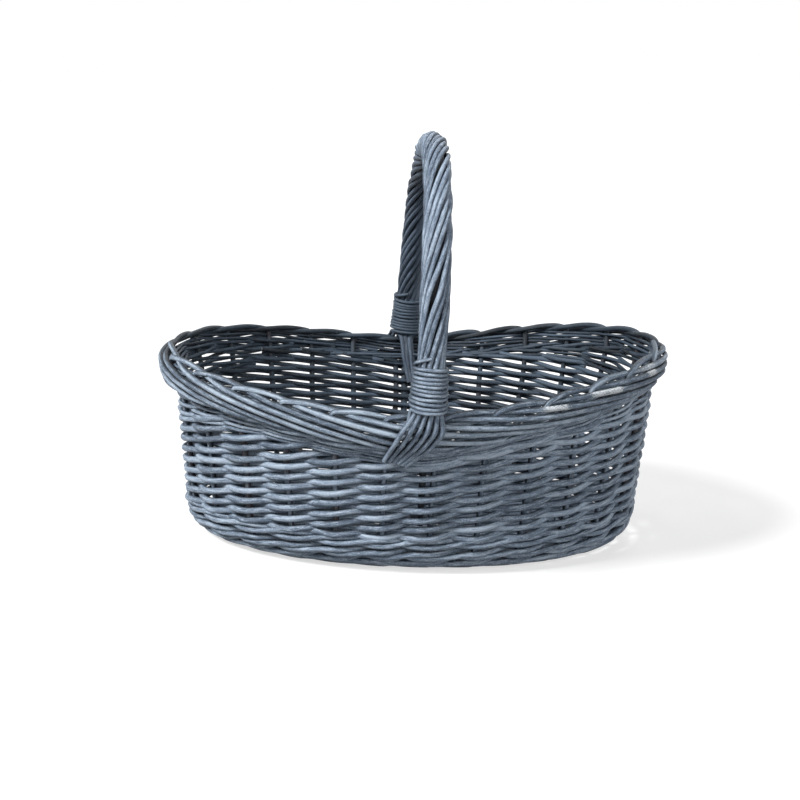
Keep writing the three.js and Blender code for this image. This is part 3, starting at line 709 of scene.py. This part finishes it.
# Side weavers: one beside each stake, all rising together, outside one stake and inside the next.
# Above them thinner rods are laid closer together and follow the rim, below and above the top wale.
# A run is counted in stakes passed, and a rod with a run shorter than the shortest is left out.
WEAVER_FIRST_RISE = 3.0
WEAVER_RISE = (3.65, 4.8)
WEAVER_LEAD_SLOPE = 0.3
WEAVER_SLANT = 0.13
WEAVER_SAG = (0.1, 0.5)
WEAVER_PRESS = 0.74
WEAVER_SWAY_UP = (1.0, 1.9)
WEAVER_SWAY_UP_RATE = 0.8
WEAVER_SWAY_OUT = 0.8
WEAVER_SWAY_OUT_RATE = 0.7
WEAVER_STEPS = 7
WEAVER_RUN = 40
SHORTEST_RUN = 2
UPPER_WEAVE_OVERLAP = 7.0
TUCKED_IN = 1.0
TUCKED_FRONT = 0.35
UPPER_WEAVER_RUN = 7
UPPER_WEAVE_REACH = (0.03, 0.15)
RIM_WEAVER_RUN = 6
RIM_WEAVE_FRONT = 0.3
THIN_WEAVER_SLANT = 0.1
THIN_WEAVER_SWAY_UP = 1.0
THIN_WEAVER_SWAY_UP_RATE = 0.6
THIN_WEAVER_SWAY_OUT = 0.7


def weaver_height(station, run):
    flat = run + WEAVER_SLANT * math.sin(math.pi * run)
    front = front_share(station)
    rise = lerp(*WEAVER_RISE, math.sqrt(front))
    sag = lerp(*WEAVER_SAG, front) * math.cos(2 * math.pi * run)
    return WALL_FOOT_HEIGHT + WEAVER_FIRST_RISE + rise * max(flat, WEAVER_LEAD_SLOPE * flat) - sag


def weaver_side(start, run, radius):
    """How far out of the wall a weaver lies after passing so many stakes."""
    passed = weave_phase(start + run) - start
    return WEAVER_PRESS * (SHANK_RADIUS + radius + leg_swell(start + run)) * math.cos(math.pi * passed)


def upper_weave_low(station):
    """How far below the border's top the rods that follow the rim begin: deeper at the ends."""
    return by_place(UPPER_WEAVE_LOW, station) + UPPER_WEAVE_END_DEPTH * near_end(station)


def sticks_out(start, run):
    """Whether the end of a weaver would show on the outside, at the front or the ends of the basket."""
    return front_share(start + run) > TUCKED_FRONT and weaver_side(start, run, 0.0) > -TUCKED_IN


def weaver_spans(start):
    """The stretches where a weaver lies below the rods that follow the rim: stakes passed at each ring."""
    spans = [[]]
    for step in range(-WEAVER_STEPS, WEAVER_RUN * WEAVER_STEPS + 1):
        run = step / WEAVER_STEPS
        station = start + run
        top = border_top(station) - upper_weave_low(station) + UPPER_WEAVE_OVERLAP
        if weaver_height(station, run) < top:
            spans[-1].append(run)
        elif spans[-1]:
            spans.append([])
    for span in spans:
        while span and sticks_out(start, span[-1]):
            span.pop()
        while span and sticks_out(start, span[0]):
            span.pop(0)
    return [span for span in spans if len(span) >= SHORTEST_RUN * WEAVER_STEPS]


def weaver_rod(start, span):
    sway = chance.uniform(0.0, SWAY_SEEDS)
    line, radii = [], []
    for run in span:
        station = start + run
        taper = lerp(*WEAVER_TAPER, clamp(run / STAKE_COUNT, 0.0, 1.0))
        radius = by_place(WEAVER_RADIUS, station) * taper
        radius += WEAVER_END_SWELL * math.cos(station_angle(station)) ** 2
        out = weaver_side(start, run, radius) + wander(sway, run * WEAVER_SWAY_OUT_RATE, WEAVER_SWAY_OUT)
        sway_up = by_place(WEAVER_SWAY_UP, station)
        height = weaver_height(station, run) + wander(sway + 3, run * WEAVER_SWAY_UP_RATE, sway_up)
        line.append(wall_point(station, height, out))
        radii.append(radius)
    return Rod(line, ring_radii(radii))


def thin_weaver_rod(start, passes, low, high, radius_range, reach=0.0):
    """A short thin rod that follows the rim while it rises from one depth below it to another, as far
    round to the back as it reaches."""
    sway = chance.uniform(0.0, SWAY_SEEDS)
    line, radii = [], []
    for step in range(-WEAVER_STEPS // 2, passes * WEAVER_STEPS + 1):
        run = step / WEAVER_STEPS
        station = start + run
        if front_share(station) < reach:
            continue
        flat = run - THIN_WEAVER_SLANT * math.sin(2 * math.pi * run)
        taper = lerp(*THIN_WEAVER_TAPER, max(run, 0.0) / passes)
        radius = lerp(*radius_range, near_end(station)) * taper
        depth = lerp(low(station), high(station), flat / passes)
        depth += wander(sway + 3, run * THIN_WEAVER_SWAY_UP_RATE, THIN_WEAVER_SWAY_UP)
        out = weaver_side(start, run, radius)
        out += wander(sway, run * WEAVER_SWAY_OUT_RATE, THIN_WEAVER_SWAY_OUT)
        height = border_top(station) - depth + rim_lift(station, depth)
        line.append(wall_point(station, height, out))
        radii.append(radius)
    return Rod(line, ring_radii(radii))


def upper_weaver_rod(start):
    """A thin rod below the top wale."""

    def high(station):
        return by_place(UPPER_WEAVE_HIGH, station)

    reach = chance.uniform(*UPPER_WEAVE_REACH)
    return thin_weaver_rod(start, UPPER_WEAVER_RUN, upper_weave_low, high, UPPER_WEAVER_RADIUS, reach)


def rim_weaver_rod(start):
    """A thin rod above the top wale, up into the border."""

    def low(station):
        return by_place(RIM_WEAVE_LOW, station)

    def high(station):
        return by_place(RIM_WEAVE_HIGH, station)

    return thin_weaver_rod(start, RIM_WEAVER_RUN, low, high, RIM_WEAVER_RADIUS)


for i in range(STAKE_COUNT):
    rods = [weaver_rod(i, span) for span in weaver_spans(i)]
    upper = upper_weaver_rod(i)
    if len(upper.line) > SHORTEST_RUN * WEAVER_STEPS:
        rods.append(upper)
    if i % 2 == 0 or front_share(i + RIM_WEAVER_RUN / 2) > RIM_WEAVE_FRONT:
        rods.append(rim_weaver_rod(i))
    lay_piece(f"side_weaver_{i + 1:02d}", WEAVER_FINISH, ["side_weave"], rods)


# Wales: three rods together, each outside two stakes and inside the third
WALE_COUNT = 3
WALE_STEPS = 6
WALE_START = 16
WALE_TONES = (0.3, 0.55, 0.4)
WALE_PRESS = 0.95
WALE_SWAY = 0.8
WALE_SWAY_RATE = 0.5
WALE_STEP_UP_RUN = 3
UPSETT_ROUNDS = 4
UPSETT_LEAD = 3
UPSETT_TURNS = (0.13, 0.95)
UPSETT_SIDE = 4.4


def wale_side(phase):
    """-1 inside the wall, 1 outside it, after passing so many of three stakes."""
    if phase < 1:
        return -math.cos(math.pi * phase)
    if phase < 2:
        return 1.0
    return math.cos(math.pi * (phase - 2))


def wale_rise(phase):
    """How far up a rod lies, in rods: it comes out low, climbs outside its neighbours and goes in high."""
    if phase < 1:
        return -0.5 * ease(2 * phase)
    if phase < 2:
        return -0.5 + ease(phase - 1)
    return 0.5 - 0.5 * ease(2 * phase - 5)


def wale_rod(rod, rounds, radius_range, place, lead):
    """A wale rod that starts and ends inside the wall, on the left of the back. It starts so many stakes
    early, to close the place where the first round steps up to the second."""
    line, radii = [], []
    sway = chance.uniform(0.0, SWAY_SEEDS)
    passes = WALE_COUNT * math.ceil(rounds * STAKE_COUNT / WALE_COUNT)
    for step in range(-lead * WALE_STEPS, passes * WALE_STEPS + 1):
        run = rod + step / WALE_STEPS
        station = run + WALE_START
        radius = by_place(radius_range, station)
        phase = (weave_phase(station) - WALE_START - rod) % WALE_COUNT
        rise = wale_rise(phase) * 2 * radius * WALE_PRESS + wander(sway, run * WALE_SWAY_RATE, WALE_SWAY)
        whole = int(clamp(run / STAKE_COUNT, 0, rounds - 1))
        step_up = ease((run - whole * STAKE_COUNT - STAKE_COUNT + WALE_STEP_UP_RUN) / WALE_STEP_UP_RUN)
        row = whole + step_up * (whole < rounds - 1)
        line.append(place(station, row / max(rounds - 1, 1), wale_side(phase), rise))
        radii.append(radius)
    return Rod(line, ring_radii(radii), tone=WALE_TONES[rod])


def top_wale_place(station, share, side, rise):
    height = border_top(station) - by_place(WALE_DEPTH, station) + rise
    out = SHANK_RADIUS + by_place(WALE_RADIUS, station) + leg_swell(station)
    return wall_point(station, height, side * out)


def upsett_place(station, share, side, rise):
    turn = lerp(*UPSETT_TURNS, share) + rise / (UPSETT_RADIUS * math.pi / 2)
    return turn_point(station, turn, side * UPSETT_SIDE)


for i in range(WALE_COUNT):
    rods = [wale_rod(i, 1, WALE_RADIUS, top_wale_place, 0)]
    lay_piece(f"top_wale_rod_{i + 1}", WALE_FINISH, ["top_wale"], rods)
for i in range(WALE_COUNT):
    radius_range = (UPSETT_ROD_RADIUS, UPSETT_ROD_RADIUS)
    rods = [wale_rod(i, UPSETT_ROUNDS, radius_range, upsett_place, UPSETT_LEAD)]
    lay_piece(f"upsett_rod_{i + 1}", WALE_FINISH, ["upsett_wale"], rods)


# Base: long sticks through short ones, with rods twined in rounds over and under them
STICK_HEIGHT = 6.6
STICK_STEPS = 24
STICK_SWAY = 1.0
STICK_SWAY_RATE = 2
STICK_BARE = 0.7
STICK_END_MARGIN = 20.0
LONG_STICK_PLACES = (-14.0, 0.0, 14.0)
LONG_STICK_RADIUS = 2.3
SHORT_STICK_SPACING = 36.0
SHORT_STICK_PLACES = tuple(SHORT_STICK_SPACING * i for i in range(-3, 4))
SHORT_STICK_RADIUS = 3.0
BASE_EDGE = (WALL_FOOT[0] / 2 - UPSETT_RADIUS, WALL_FOOT[1] / 2 - UPSETT_RADIUS)
BASE_FIRST_ROUND = (114.0, 18.5)
BASE_ROUNDS = 12
BASE_OUTER_MARGIN = 2.5
TWINE_STEPS = 110
TWINE_SWING = 4.3
# Rods between the long sticks, and whether each passes over the middle short stick
MIDDLE_ROD_PLACES = {-9.2: True, -4.8: False, 4.8: False, 9.2: True}
MIDDLE_ROD_RADIUS = 2.4
MIDDLE_ROD_SWING = 3.6
MIDDLE_ROD_OVERLAP = 4
MIDDLE_ROD_STEPS = 96


def straight_stick(middle, way, reach, radius):
    sway = chance.uniform(0.0, SWAY_SEEDS)
    across = Vector((way.y, way.x, 0))
    line = []
    for i in range(STICK_STEPS + 1):
        share = 2 * i / STICK_STEPS - 1
        aside = wander(sway, share * STICK_SWAY_RATE, STICK_SWAY)
        line.append(middle + way * (reach * share) + across * aside)
    return Rod(line, lambda share: radius, bare=lambda ring: STICK_BARE)


def twined_rod(turn, first):
    """One of two rods that go once round the base together, crossing each other between the sticks."""
    line = []
    sign = 1 if first else -1
    for step in range(TWINE_STEPS + 1):
        angle = 2 * math.pi * step / TWINE_STEPS
        size = min((turn + step / TWINE_STEPS) / BASE_ROUNDS, 1.0)
        length, width = (lerp(BASE_FIRST_ROUND[i], BASE_EDGE[i] + BASE_OUTER_MARGIN, size) for i in (0, 1))
        # Angles at which a round of this size meets the sticks
        quarter = [math.acos(clamp(x / length, -1.0, 1.0)) for x in reversed(SHORT_STICK_PLACES)]
        end = [math.asin(clamp(y / width, -1.0, 1.0)) for y in LONG_STICK_PLACES]
        crossings = end + quarter + [math.pi + a for a in end] + [math.pi + a for a in quarter]
        local = (angle - crossings[0]) % (2 * math.pi) + crossings[0]
        crossings.append(crossings[0] + 2 * math.pi)
        after = min(bisect.bisect_right(crossings, local), len(crossings) - 1)
        passed = after - 1 + (local - crossings[after - 1]) / (crossings[after] - crossings[after - 1])
        swing = math.cos(math.pi * passed) * sign
        aside = math.sin(math.pi * passed) * sign * BASE_ROD_RADIUS
        x = (length + aside) * math.cos(angle)
        y = (width + aside) * math.sin(angle)
        line.append(Vector((x, y, STICK_HEIGHT + TWINE_SWING * swing)))
    return Rod(line, lambda share: BASE_ROD_RADIUS)


def middle_rod(y, first):
    """A rod laid along between two long sticks, over one short stick and under the next."""
    line = []
    reach = BASE_FIRST_ROUND[0] + MIDDLE_ROD_OVERLAP
    for i in range(MIDDLE_ROD_STEPS + 1):
        x = lerp(-reach, reach, i / MIDDLE_ROD_STEPS)
        swing = math.cos(math.pi * x / SHORT_STICK_SPACING) * (1 if first else -1)
        line.append(Vector((x, y, STICK_HEIGHT + MIDDLE_ROD_SWING * swing)))
    return Rod(line, lambda share: MIDDLE_ROD_RADIUS)


for i, y in enumerate(LONG_STICK_PLACES):
    reach = BASE_EDGE[0] * math.sqrt(1 - (y / BASE_EDGE[1]) ** 2) - STICK_END_MARGIN
    rod = straight_stick(Vector((0, y, STICK_HEIGHT)), Vector((1, 0, 0)), reach, LONG_STICK_RADIUS)
    name = f"base_long_stick_{i + 1}"
    lay_piece(f"willow_{name}", BASE_FINISH, [name], [rod])
for i, x in enumerate(SHORT_STICK_PLACES):
    reach = BASE_EDGE[1] * math.sqrt(1 - (x / BASE_EDGE[0]) ** 2) - STICK_END_MARGIN
    rod = straight_stick(Vector((x, 0, STICK_HEIGHT)), Vector((0, 1, 0)), reach, SHORT_STICK_RADIUS)
    name = f"base_short_stick_{i + 1}"
    lay_piece(f"willow_{name}", BASE_FINISH, [name], [rod])
# The last pair goes once more round the edge, beside the end of the spiral
base_rods = [twined_rod(turn, first) for turn in range(BASE_ROUNDS + 1) for first in (True, False)]
base_rods += [middle_rod(y, first) for y, first in MIDDLE_ROD_PLACES.items()]
lay_piece("base_twined_rods", BASE_FINISH, ["base_weave"], base_rods)


# Handle line: an upright oval arch over the two facing stakes
FRONT_FOOT = -BOW_SETBACK / STAKE_SPACING
BACK_FOOT = FRONT_FOOT + STAKE_COUNT / 2
ARCH_START = wall_point(FRONT_FOOT, border_top(FRONT_FOOT), 0)
ARCH_START.z += BOW_SHOULDER
ARCH_TOP = HANDLE_TOP - ROPE_RING - ROPE_HALF
ARCH_WIDEST = RIM_HEIGHT_MIDDLE + HANDLE_WIDEST_RISE
ARCH_HALF_HEIGHT = ARCH_TOP - ARCH_WIDEST
ARCH_START_SWING = math.asin((ARCH_START.z - ARCH_WIDEST) / ARCH_HALF_HEIGHT)
ARCH_FRONT = Vector((ARCH_START.x, ARCH_START.y, 0)).normalized()
ARCH_SIDE = Vector((-ARCH_FRONT.y, ARCH_FRONT.x, 0))
ARCH_HALF_SPAN = math.hypot(ARCH_START.x, ARCH_START.y) / math.cos(ARCH_START_SWING)
ARCH_STEPS = 600
SMALL_SWING = 1e-3


def arch_point(swing):
    height = ARCH_WIDEST + ARCH_HALF_HEIGHT * math.sin(swing)
    lean = HANDLE_LEAN * (height - ARCH_START.z) / (ARCH_TOP - ARCH_START.z)
    point = ARCH_FRONT * (ARCH_HALF_SPAN * math.cos(swing)) + ARCH_SIDE * lean
    point.z = height
    return point


def arch_table():
    end_swing = math.pi - ARCH_START_SWING
    swings = [lerp(ARCH_START_SWING, end_swing, i / ARCH_STEPS) for i in range(ARCH_STEPS + 1)]
    lengths = [0.0]
    for before, after in zip(swings, swings[1:]):
        lengths.append(lengths[-1] + (arch_point(after) - arch_point(before)).length)
    return swings, lengths


def arch_left():
    """The way across the plane of the arch, to the left."""
    crown = arch_point(math.pi / 2)
    to_back = arch_point(ARCH_SWINGS[-1]) - crown
    to_front = arch_point(ARCH_SWINGS[0]) - crown
    return to_back.cross(to_front).normalized()


ARCH_SWINGS, ARCH_LENGTHS = arch_table()
ARCH_LENGTH = ARCH_LENGTHS[-1]
ARCH_LEFT = arch_left()


def arch_swing(distance):
    high = clamp(bisect.bisect_right(ARCH_LENGTHS, distance), 1, ARCH_STEPS)
    share = (distance - ARCH_LENGTHS[high - 1]) / (ARCH_LENGTHS[high] - ARCH_LENGTHS[high - 1])
    return lerp(ARCH_SWINGS[high - 1], ARCH_SWINGS[high], share)


BINDING_TOP_FRONT = FRONT_BINDING_RISE + BINDING_HEIGHT
BACK_BINDING_END = ARCH_LENGTH - BACK_BINDING_RISE
BINDING_TOP_BACK = BACK_BINDING_END - BINDING_HEIGHT


def foot_share(distance):
    """How far down into a binding a place on the handle lies: 0 above it, 1 at its bottom."""
    front = (BINDING_TOP_FRONT - distance) / BINDING_HEIGHT
    back = (distance - BINDING_TOP_BACK) / BINDING_HEIGHT
    return clamp(max(front, back), 0.0, 1.0)


def handle_point(distance, ring, angle):
    """A place on a ring round the arch, which is squeezed flatter near the feet."""
    swing = arch_swing(distance)
    run = (arch_point(swing + SMALL_SWING) - arch_point(swing - SMALL_SWING)).normalized()
    away = run.cross(ARCH_LEFT)
    to_foot = min(distance, ARCH_LENGTH - distance)
    squeeze = lerp(1.0, FOOT_SQUEEZE, ease(1 - to_foot / FOOT_SQUEEZE_LENGTH))
    sideways = ARCH_LEFT * (ring * squeeze * math.cos(angle))
    return arch_point(swing) + sideways + away * (ring * math.sin(angle))


# Bow: the arch, with a shaved leg beside its stake at each foot
LEG_KNOTS = 5
LEG_SET_IN = 0.6
BOW_KNOTS = 40
BOW_STEPS = 3


def leg_knots(station):
    low = WALL_FOOT_HEIGHT + BOW_TIP_RISE
    heights = [lerp(low, border_top(station), i / LEG_KNOTS) for i in range(LEG_KNOTS + 1)]
    return [wall_point(station, height, -LEG_SET_IN) for height in heights]


def bow_rod():
    arch = [arch_point(arch_swing(ARCH_LENGTH * i / BOW_KNOTS)) for i in range(1, BOW_KNOTS)]
    knots = leg_knots(FRONT_FOOT) + arch + leg_knots(BACK_FOOT)[::-1]
    leg = (LEG_KNOTS + 2) / len(knots)

    def thickness(share):
        end = min(share, 1 - share)
        if end < leg:
            return lerp(BOW_TIP_RADIUS, BOW_LEG_RADIUS, end / leg)
        return lerp(BOW_LEG_RADIUS, BOW_RADIUS, ease((end - leg) / leg))

    return Rod(smooth_path(knots, BOW_STEPS), thickness, bare=lambda ring: 1.0)


lay_piece("handle_bow_rod", BOW_PAINTED_SHADE_FINISH, ["handle_bow"], [bow_rod()])

# Rope: rods round the bow, with tails that fan out over the rim, outside and inside. A tail goes
# through places so far below the border's top and so far out of the wall.
ROPE_STEPS = 84
ROPE_SWAY_ROUND = 0.16
ROPE_SWAY_ROUND_LENGTH = 70.0
ROPE_SWAY_OUT = 1.3
ROPE_SWAY_OUT_LENGTH = 60.0
ROPE_TIGHT_ENDS = 6
TAIL_STEPS = 5
TAIL_TAPER_SHARE = 0.06
TAIL_BEND = (1.1, 1.9)
OUTER_TAIL_LENGTHENED = 3.5
TAILS_EACH_SIDE = ROPE_COUNT // 2
TAIL_GAP = 0.3
WALL_TAIL_GAP = 0.4
TAIL_STAND = BORDER_REACH + ROPE_HALF + TAIL_GAP
WALE_STAND = SHANK_RADIUS + 2 * WALE_RADIUS[1] + ROPE_HALF + TAIL_GAP
WALL_STAND = SHANK_RADIUS + 2 * WEAVER_RADIUS[0] + ROPE_HALF + WALL_TAIL_GAP
OUTER_TAIL = (
    (2.0, TAIL_STAND),
    (9.0, TAIL_STAND),
    (17.0, TAIL_STAND),
    (25.0, WALE_STAND),
    (33.0, WALE_STAND),
)
INNER_TAIL = ((-3.8, TAIL_STAND), (12.0, TAIL_STAND), (24.0, WALE_STAND), (37.0, WALL_STAND))

# A dark hollow low on the front of the rope, where two rods part and show the bow, whose near-black colour
# is painted shade
HOLLOW_PLACE = -0.5
HOLLOW_RISE = 97.0
HOLLOW_LENGTH = 20.0
HOLLOW_WIDTH = 0.16
HOLLOW_SPREAD = 1.2
HOLLOW_LIFT = 1.4


def tail_along(drop):
    """How far along a tail a place is, from where it leaves the binding."""
    return (drop + TAIL_TURN_RISE) / (TAIL_DROP + TAIL_TURN_RISE)


def tail_station(foot, order, drop, spacings, slant, behind, hook=0.0):
    """Where a tail lies so far below the border's top: fanned out in its order, and bent to the left."""
    spacing = lerp(*spacings, clamp(drop / TAIL_DROP, 0.0, 1.0))
    along = tail_along(drop)
    bent = slant * TAIL_DROP * along ** lerp(*TAIL_BEND, behind) + hook * TAIL_DROP * behind**2 * along**3
    return foot + (order * spacing - bent) / STAKE_SPACING


def outer_tail_knots(order, foot):
    """A tail on the outside of the rim. The ones behind hook more and reach lower."""
    behind = clamp(0.5 + order / (TAILS_EACH_SIDE - 1), 0.0, 1.0)
    fan = (OUTER_TAIL_SPACING, OUTER_TAIL_SLANT, behind, OUTER_TAIL_HOOK)
    knots = []
    for drop, stand in OUTER_TAIL:
        lower = OUTER_TAIL_LENGTHENED * behind**2 * tail_along(drop)
        height = border_top(foot) - (drop + lower)
        knots.append(wall_point(tail_station(foot, order, drop, *fan), height, stand))
    return knots


def inner_tail_knots(order, foot, layer):
    """A tail on the inside of the rim, in one of two layers."""
    fan = (INNER_TAIL_SPACING, INNER_TAIL_SLANT, 0.5)
    knots = []
    for drop, stand in INNER_TAIL:
        inward = stand + INNER_TAIL_LAYER * layer
        knots.append(wall_point(tail_station(foot, order, drop, *fan), border_top(foot) - drop, -inward))
    return knots


def tail_knots(place, foot, facing):
    order = facing * ((TAILS_EACH_SIDE - 1) / 2 - place % TAILS_EACH_SIDE)
    if place < TAILS_EACH_SIDE:
        return outer_tail_knots(order, foot)
    return inner_tail_knots(-order, foot, place % 2)


def gathered(angle, foot):
    """Draws the rods in a foot together, towards the outside and the inside of the rim."""
    turned = angle % (2 * math.pi)
    middle = math.pi / 2 if turned < math.pi else 1.5 * math.pi
    return angle + (middle - turned) * ROPE_FOOT_GATHER * foot


def laid_rope(place):
    """A rope rod's line round the bow, from the bottom of one binding to that of the other."""
    first_angle = 2 * math.pi * (place + 0.5) / ROPE_COUNT
    beside = (place - HOLLOW_PLACE + ROPE_COUNT / 2) % ROPE_COUNT - ROPE_COUNT / 2
    away = 0.5 - abs(beside)
    sway = chance.uniform(0.0, SWAY_SEEDS)
    line = []
    for i in range(ROPE_STEPS + 1):
        distance = lerp(FRONT_BINDING_RISE, BACK_BINDING_END, i / ROPE_STEPS)
        share = clamp((distance - BINDING_TOP_FRONT) / (BINDING_TOP_BACK - BINDING_TOP_FRONT), 0.0, 1.0)
        twist = ROPE_TURN * (ROPE_TURN_START * share + (1 - ROPE_TURN_START) * share**2)
        foot = foot_share(distance)
        loose = (1 - foot) * (1 - abs(2 * share - 1) ** ROPE_TIGHT_ENDS)
        parted = math.exp(-(((distance - HOLLOW_RISE) / HOLLOW_LENGTH) ** 2))
        angle = gathered(first_angle + twist, foot)
        angle += wander(sway, distance / ROPE_SWAY_ROUND_LENGTH, ROPE_SWAY_ROUND) * loose
        angle += HOLLOW_WIDTH * parted * math.copysign(math.exp(away / HOLLOW_SPREAD), beside)
        ring = ROPE_RING + ROPE_FOOT_FLARE * foot
        ring += wander(sway + 5, distance / ROPE_SWAY_OUT_LENGTH, ROPE_SWAY_OUT) * loose
        ring += HOLLOW_LIFT * parted * math.exp(away)
        line.append(handle_point(distance, ring, angle))
    return line


def rope_rod(place):
    laid = laid_rope(place)
    back_place = (place + ROPE_PLACES_TURNED) % ROPE_COUNT
    front_tail = tail_knots(place, FRONT_FOOT, -1)[::-1]
    back_tail = tail_knots(back_place, BACK_FOOT, 1)
    front = smooth_path(front_tail + laid[:2], TAIL_STEPS)[:-TAIL_STEPS]
    back = smooth_path(laid[-2:] + back_tail, TAIL_STEPS)[TAIL_STEPS:]

    def thickness(share):
        end = min(share, 1 - share)
        tail_place = back_place if share > 0.5 else place
        tail_radius = ROPE_TAIL_RADIUS if tail_place < TAILS_EACH_SIDE else INNER_TAIL_RADIUS
        return lerp(tail_radius, ROPE_RADIUS, ease(end / TAIL_TAPER_SHARE))

    return Rod(front + laid[1:-1] + back, thickness)


for i in range(ROPE_COUNT):
    name = f"handle_rope_{i + 1:02d}"
    lay_piece(f"willow_{name}", ROPE_FINISH, [name], [rope_rod(i)])


# Bindings: one rod wound round the rope at each foot, from an end laid on the border to an end
# tucked under the rope
BINDING_STEPS = 30
BINDING_TONE = 0.6
BINDING_FLARE_BEND = 1.4
BINDING_TUCK = 2.2
BINDING_TUCK_RISE = 6.0
BINDING_TILT = 0.8
BINDING_SWAY_UP = 1.5
BINDING_SWAY_UP_RATE = 1.3
BINDING_TIGHT_ENDS = 8
BINDING_SWAY_OUT = 0.6
BINDING_SWAY_OUT_STEPS = 12
BINDING_LEAD_STEPS = 5
BINDING_LEAD_JOIN = 2
# The end on the border, as how far along, above and out of the border's line it goes
BINDING_LEAD = ((0.5, -1.0, 2.0), (0.36, 1.6, 4.0))


def binding_rod(station, distance_at, facing):
    sway = chance.uniform(0.0, SWAY_SEEDS)
    line = []
    turns = BINDING_TURNS * BINDING_STEPS
    tuck = BINDING_STEPS // 4
    for i in range(turns + tuck + 1):
        share = min(i / turns, 1.0)
        over = max(i - turns, 0) / tuck
        ring = BINDING_RING + ROPE_FOOT_FLARE * (1 - share) ** BINDING_FLARE_BEND - BINDING_TUCK * over**2
        angle = facing * 2 * math.pi * i / BINDING_STEPS
        rise = BINDING_HEIGHT * share + BINDING_TUCK_RISE * over + BINDING_TILT * math.cos(angle)
        loose = min(1.0, BINDING_TIGHT_ENDS * share * (1 - share))
        rise += wander(sway, i / BINDING_STEPS * BINDING_SWAY_UP_RATE, BINDING_SWAY_UP) * loose
        ring += wander(sway + 2, i / BINDING_SWAY_OUT_STEPS, BINDING_SWAY_OUT)
        line.append(handle_point(distance_at(rise), ring, angle))
    lead = [
        wall_point(station - facing * along, border_top(station) + above, out)
        for along, above, out in BINDING_LEAD
    ]
    lead += [line[BINDING_LEAD_JOIN], line[2 * BINDING_LEAD_JOIN]]
    laid_on = smooth_path(lead, BINDING_LEAD_STEPS)[:-BINDING_LEAD_STEPS]
    return Rod(laid_on + line[BINDING_LEAD_JOIN:], lambda share: BINDING_RADIUS, tone=BINDING_TONE)


front_binding = binding_rod(FRONT_FOOT, lambda rise: FRONT_BINDING_RISE + rise, 1)
back_binding = binding_rod(BACK_FOOT, lambda rise: BACK_BINDING_END - rise, -1)
lay_piece("front_binding", BINDING_FINISH, ["handle_binding_front"], [front_binding])
lay_piece("back_binding", BINDING_FINISH, ["handle_binding_back"], [back_binding])

# Camera at the photograph's angle
camera_data = bpy.data.cameras.new("photo_camera")
camera_data.lens = CAMERA_LENS
camera_data.sensor_width = CAMERA_SENSOR
camera = bpy.data.objects.new("photo_camera", camera_data)
bpy.context.scene.collection.objects.link(camera)
bpy.context.scene.camera = camera
backward = Vector((
    math.sin(CAMERA_AZIMUTH) * math.cos(CAMERA_ELEVATION),
    -math.cos(CAMERA_AZIMUTH) * math.cos(CAMERA_ELEVATION),
    math.sin(CAMERA_ELEVATION),
))
camera.location = (LOOKED_AT + backward * CAMERA_DISTANCE) * MM
camera.rotation_mode = "QUATERNION"
camera.rotation_quaternion = (-backward).to_track_quat("-Z", "Y") @ Quaternion((0, 0, 1), CAMERA_ROLL)


# Floor, background and lamps. What the eye sees of them is white, and their light is dimmer.
FLOOR_HALF = 6000.0
FLOOR_GLOW = 0.62
FLOOR_LIT = grey(0.2)
FLOOR_SEEN = grey(0.45)
DARK = grey(0.0)
WHITE = grey(1.0)
SKY_LIT = (0.12, 0.12, 0.125, 1.0)


def floor_finish():
    """Pale floor. To the eye it is lifted to white, and it keeps the basket's shadow."""
    finish = Finish(bpy.data.materials.new("pale_floor"))
    seen = finish.seen()
    colour = finish.mix(seen, FLOOR_LIT, FLOOR_SEEN)
    glow = finish.mix(seen, DARK, WHITE)
    sockets = {"Base Color": colour, "Roughness": 1.0, "Specular IOR Level": 0.0}
    sockets |= {"Emission Color": glow, "Emission Strength": FLOOR_GLOW}
    shader = finish.add("ShaderNodeBsdfPrincipled", {}, sockets)
    finish.add("ShaderNodeOutputMaterial", {}, {"Surface": shader})
    return finish.owner


floor_bm = bmesh.new()
bmesh.ops.create_grid(floor_bm, x_segments=1, y_segments=1, size=FLOOR_HALF * MM)
floor_mesh = bpy.data.meshes.new("floor")
floor_bm.to_mesh(floor_mesh)
floor_bm.free()
floor_mesh.materials.append(floor_finish())
floor = bpy.data.objects.new("floor", floor_mesh)
bpy.context.scene.collection.objects.link(floor)

studio = Finish(bpy.data.worlds.new("studio"))
sky_colour = studio.mix(studio.seen(), SKY_LIT, WHITE)
sky = studio.add("ShaderNodeBackground", {}, {"Color": sky_colour, "Strength": 1.0})
studio.add("ShaderNodeOutputWorld", {}, {"Surface": sky})
bpy.context.scene.world = studio.owner


def soft_lamp(name, place, spread, strength):
    """A broad even light from the direction of a place, as from a large white panel."""
    data = bpy.data.lights.new(name, "SUN")
    data.angle = math.radians(spread)
    data.energy = strength
    lamp = bpy.data.objects.new(name, data)
    lamp.location = place
    lamp.rotation_mode = "QUATERNION"
    lamp.rotation_quaternion = (-Vector(place)).to_track_quat("-Z", "Y")
    bpy.context.scene.collection.objects.link(lamp)


soft_lamp("key_lamp", place=(-1.85, -0.95, 1.85), spread=18.0, strength=4.3)
soft_lamp("fill_lamp", place=(1.1, -2.0, 1.2), spread=40.0, strength=1.35)
soft_lamp("back_lamp", place=(0.5, 2.0, 1.4), spread=40.0, strength=0.8)

bpy.context.scene.view_settings.view_transform = "Standard"
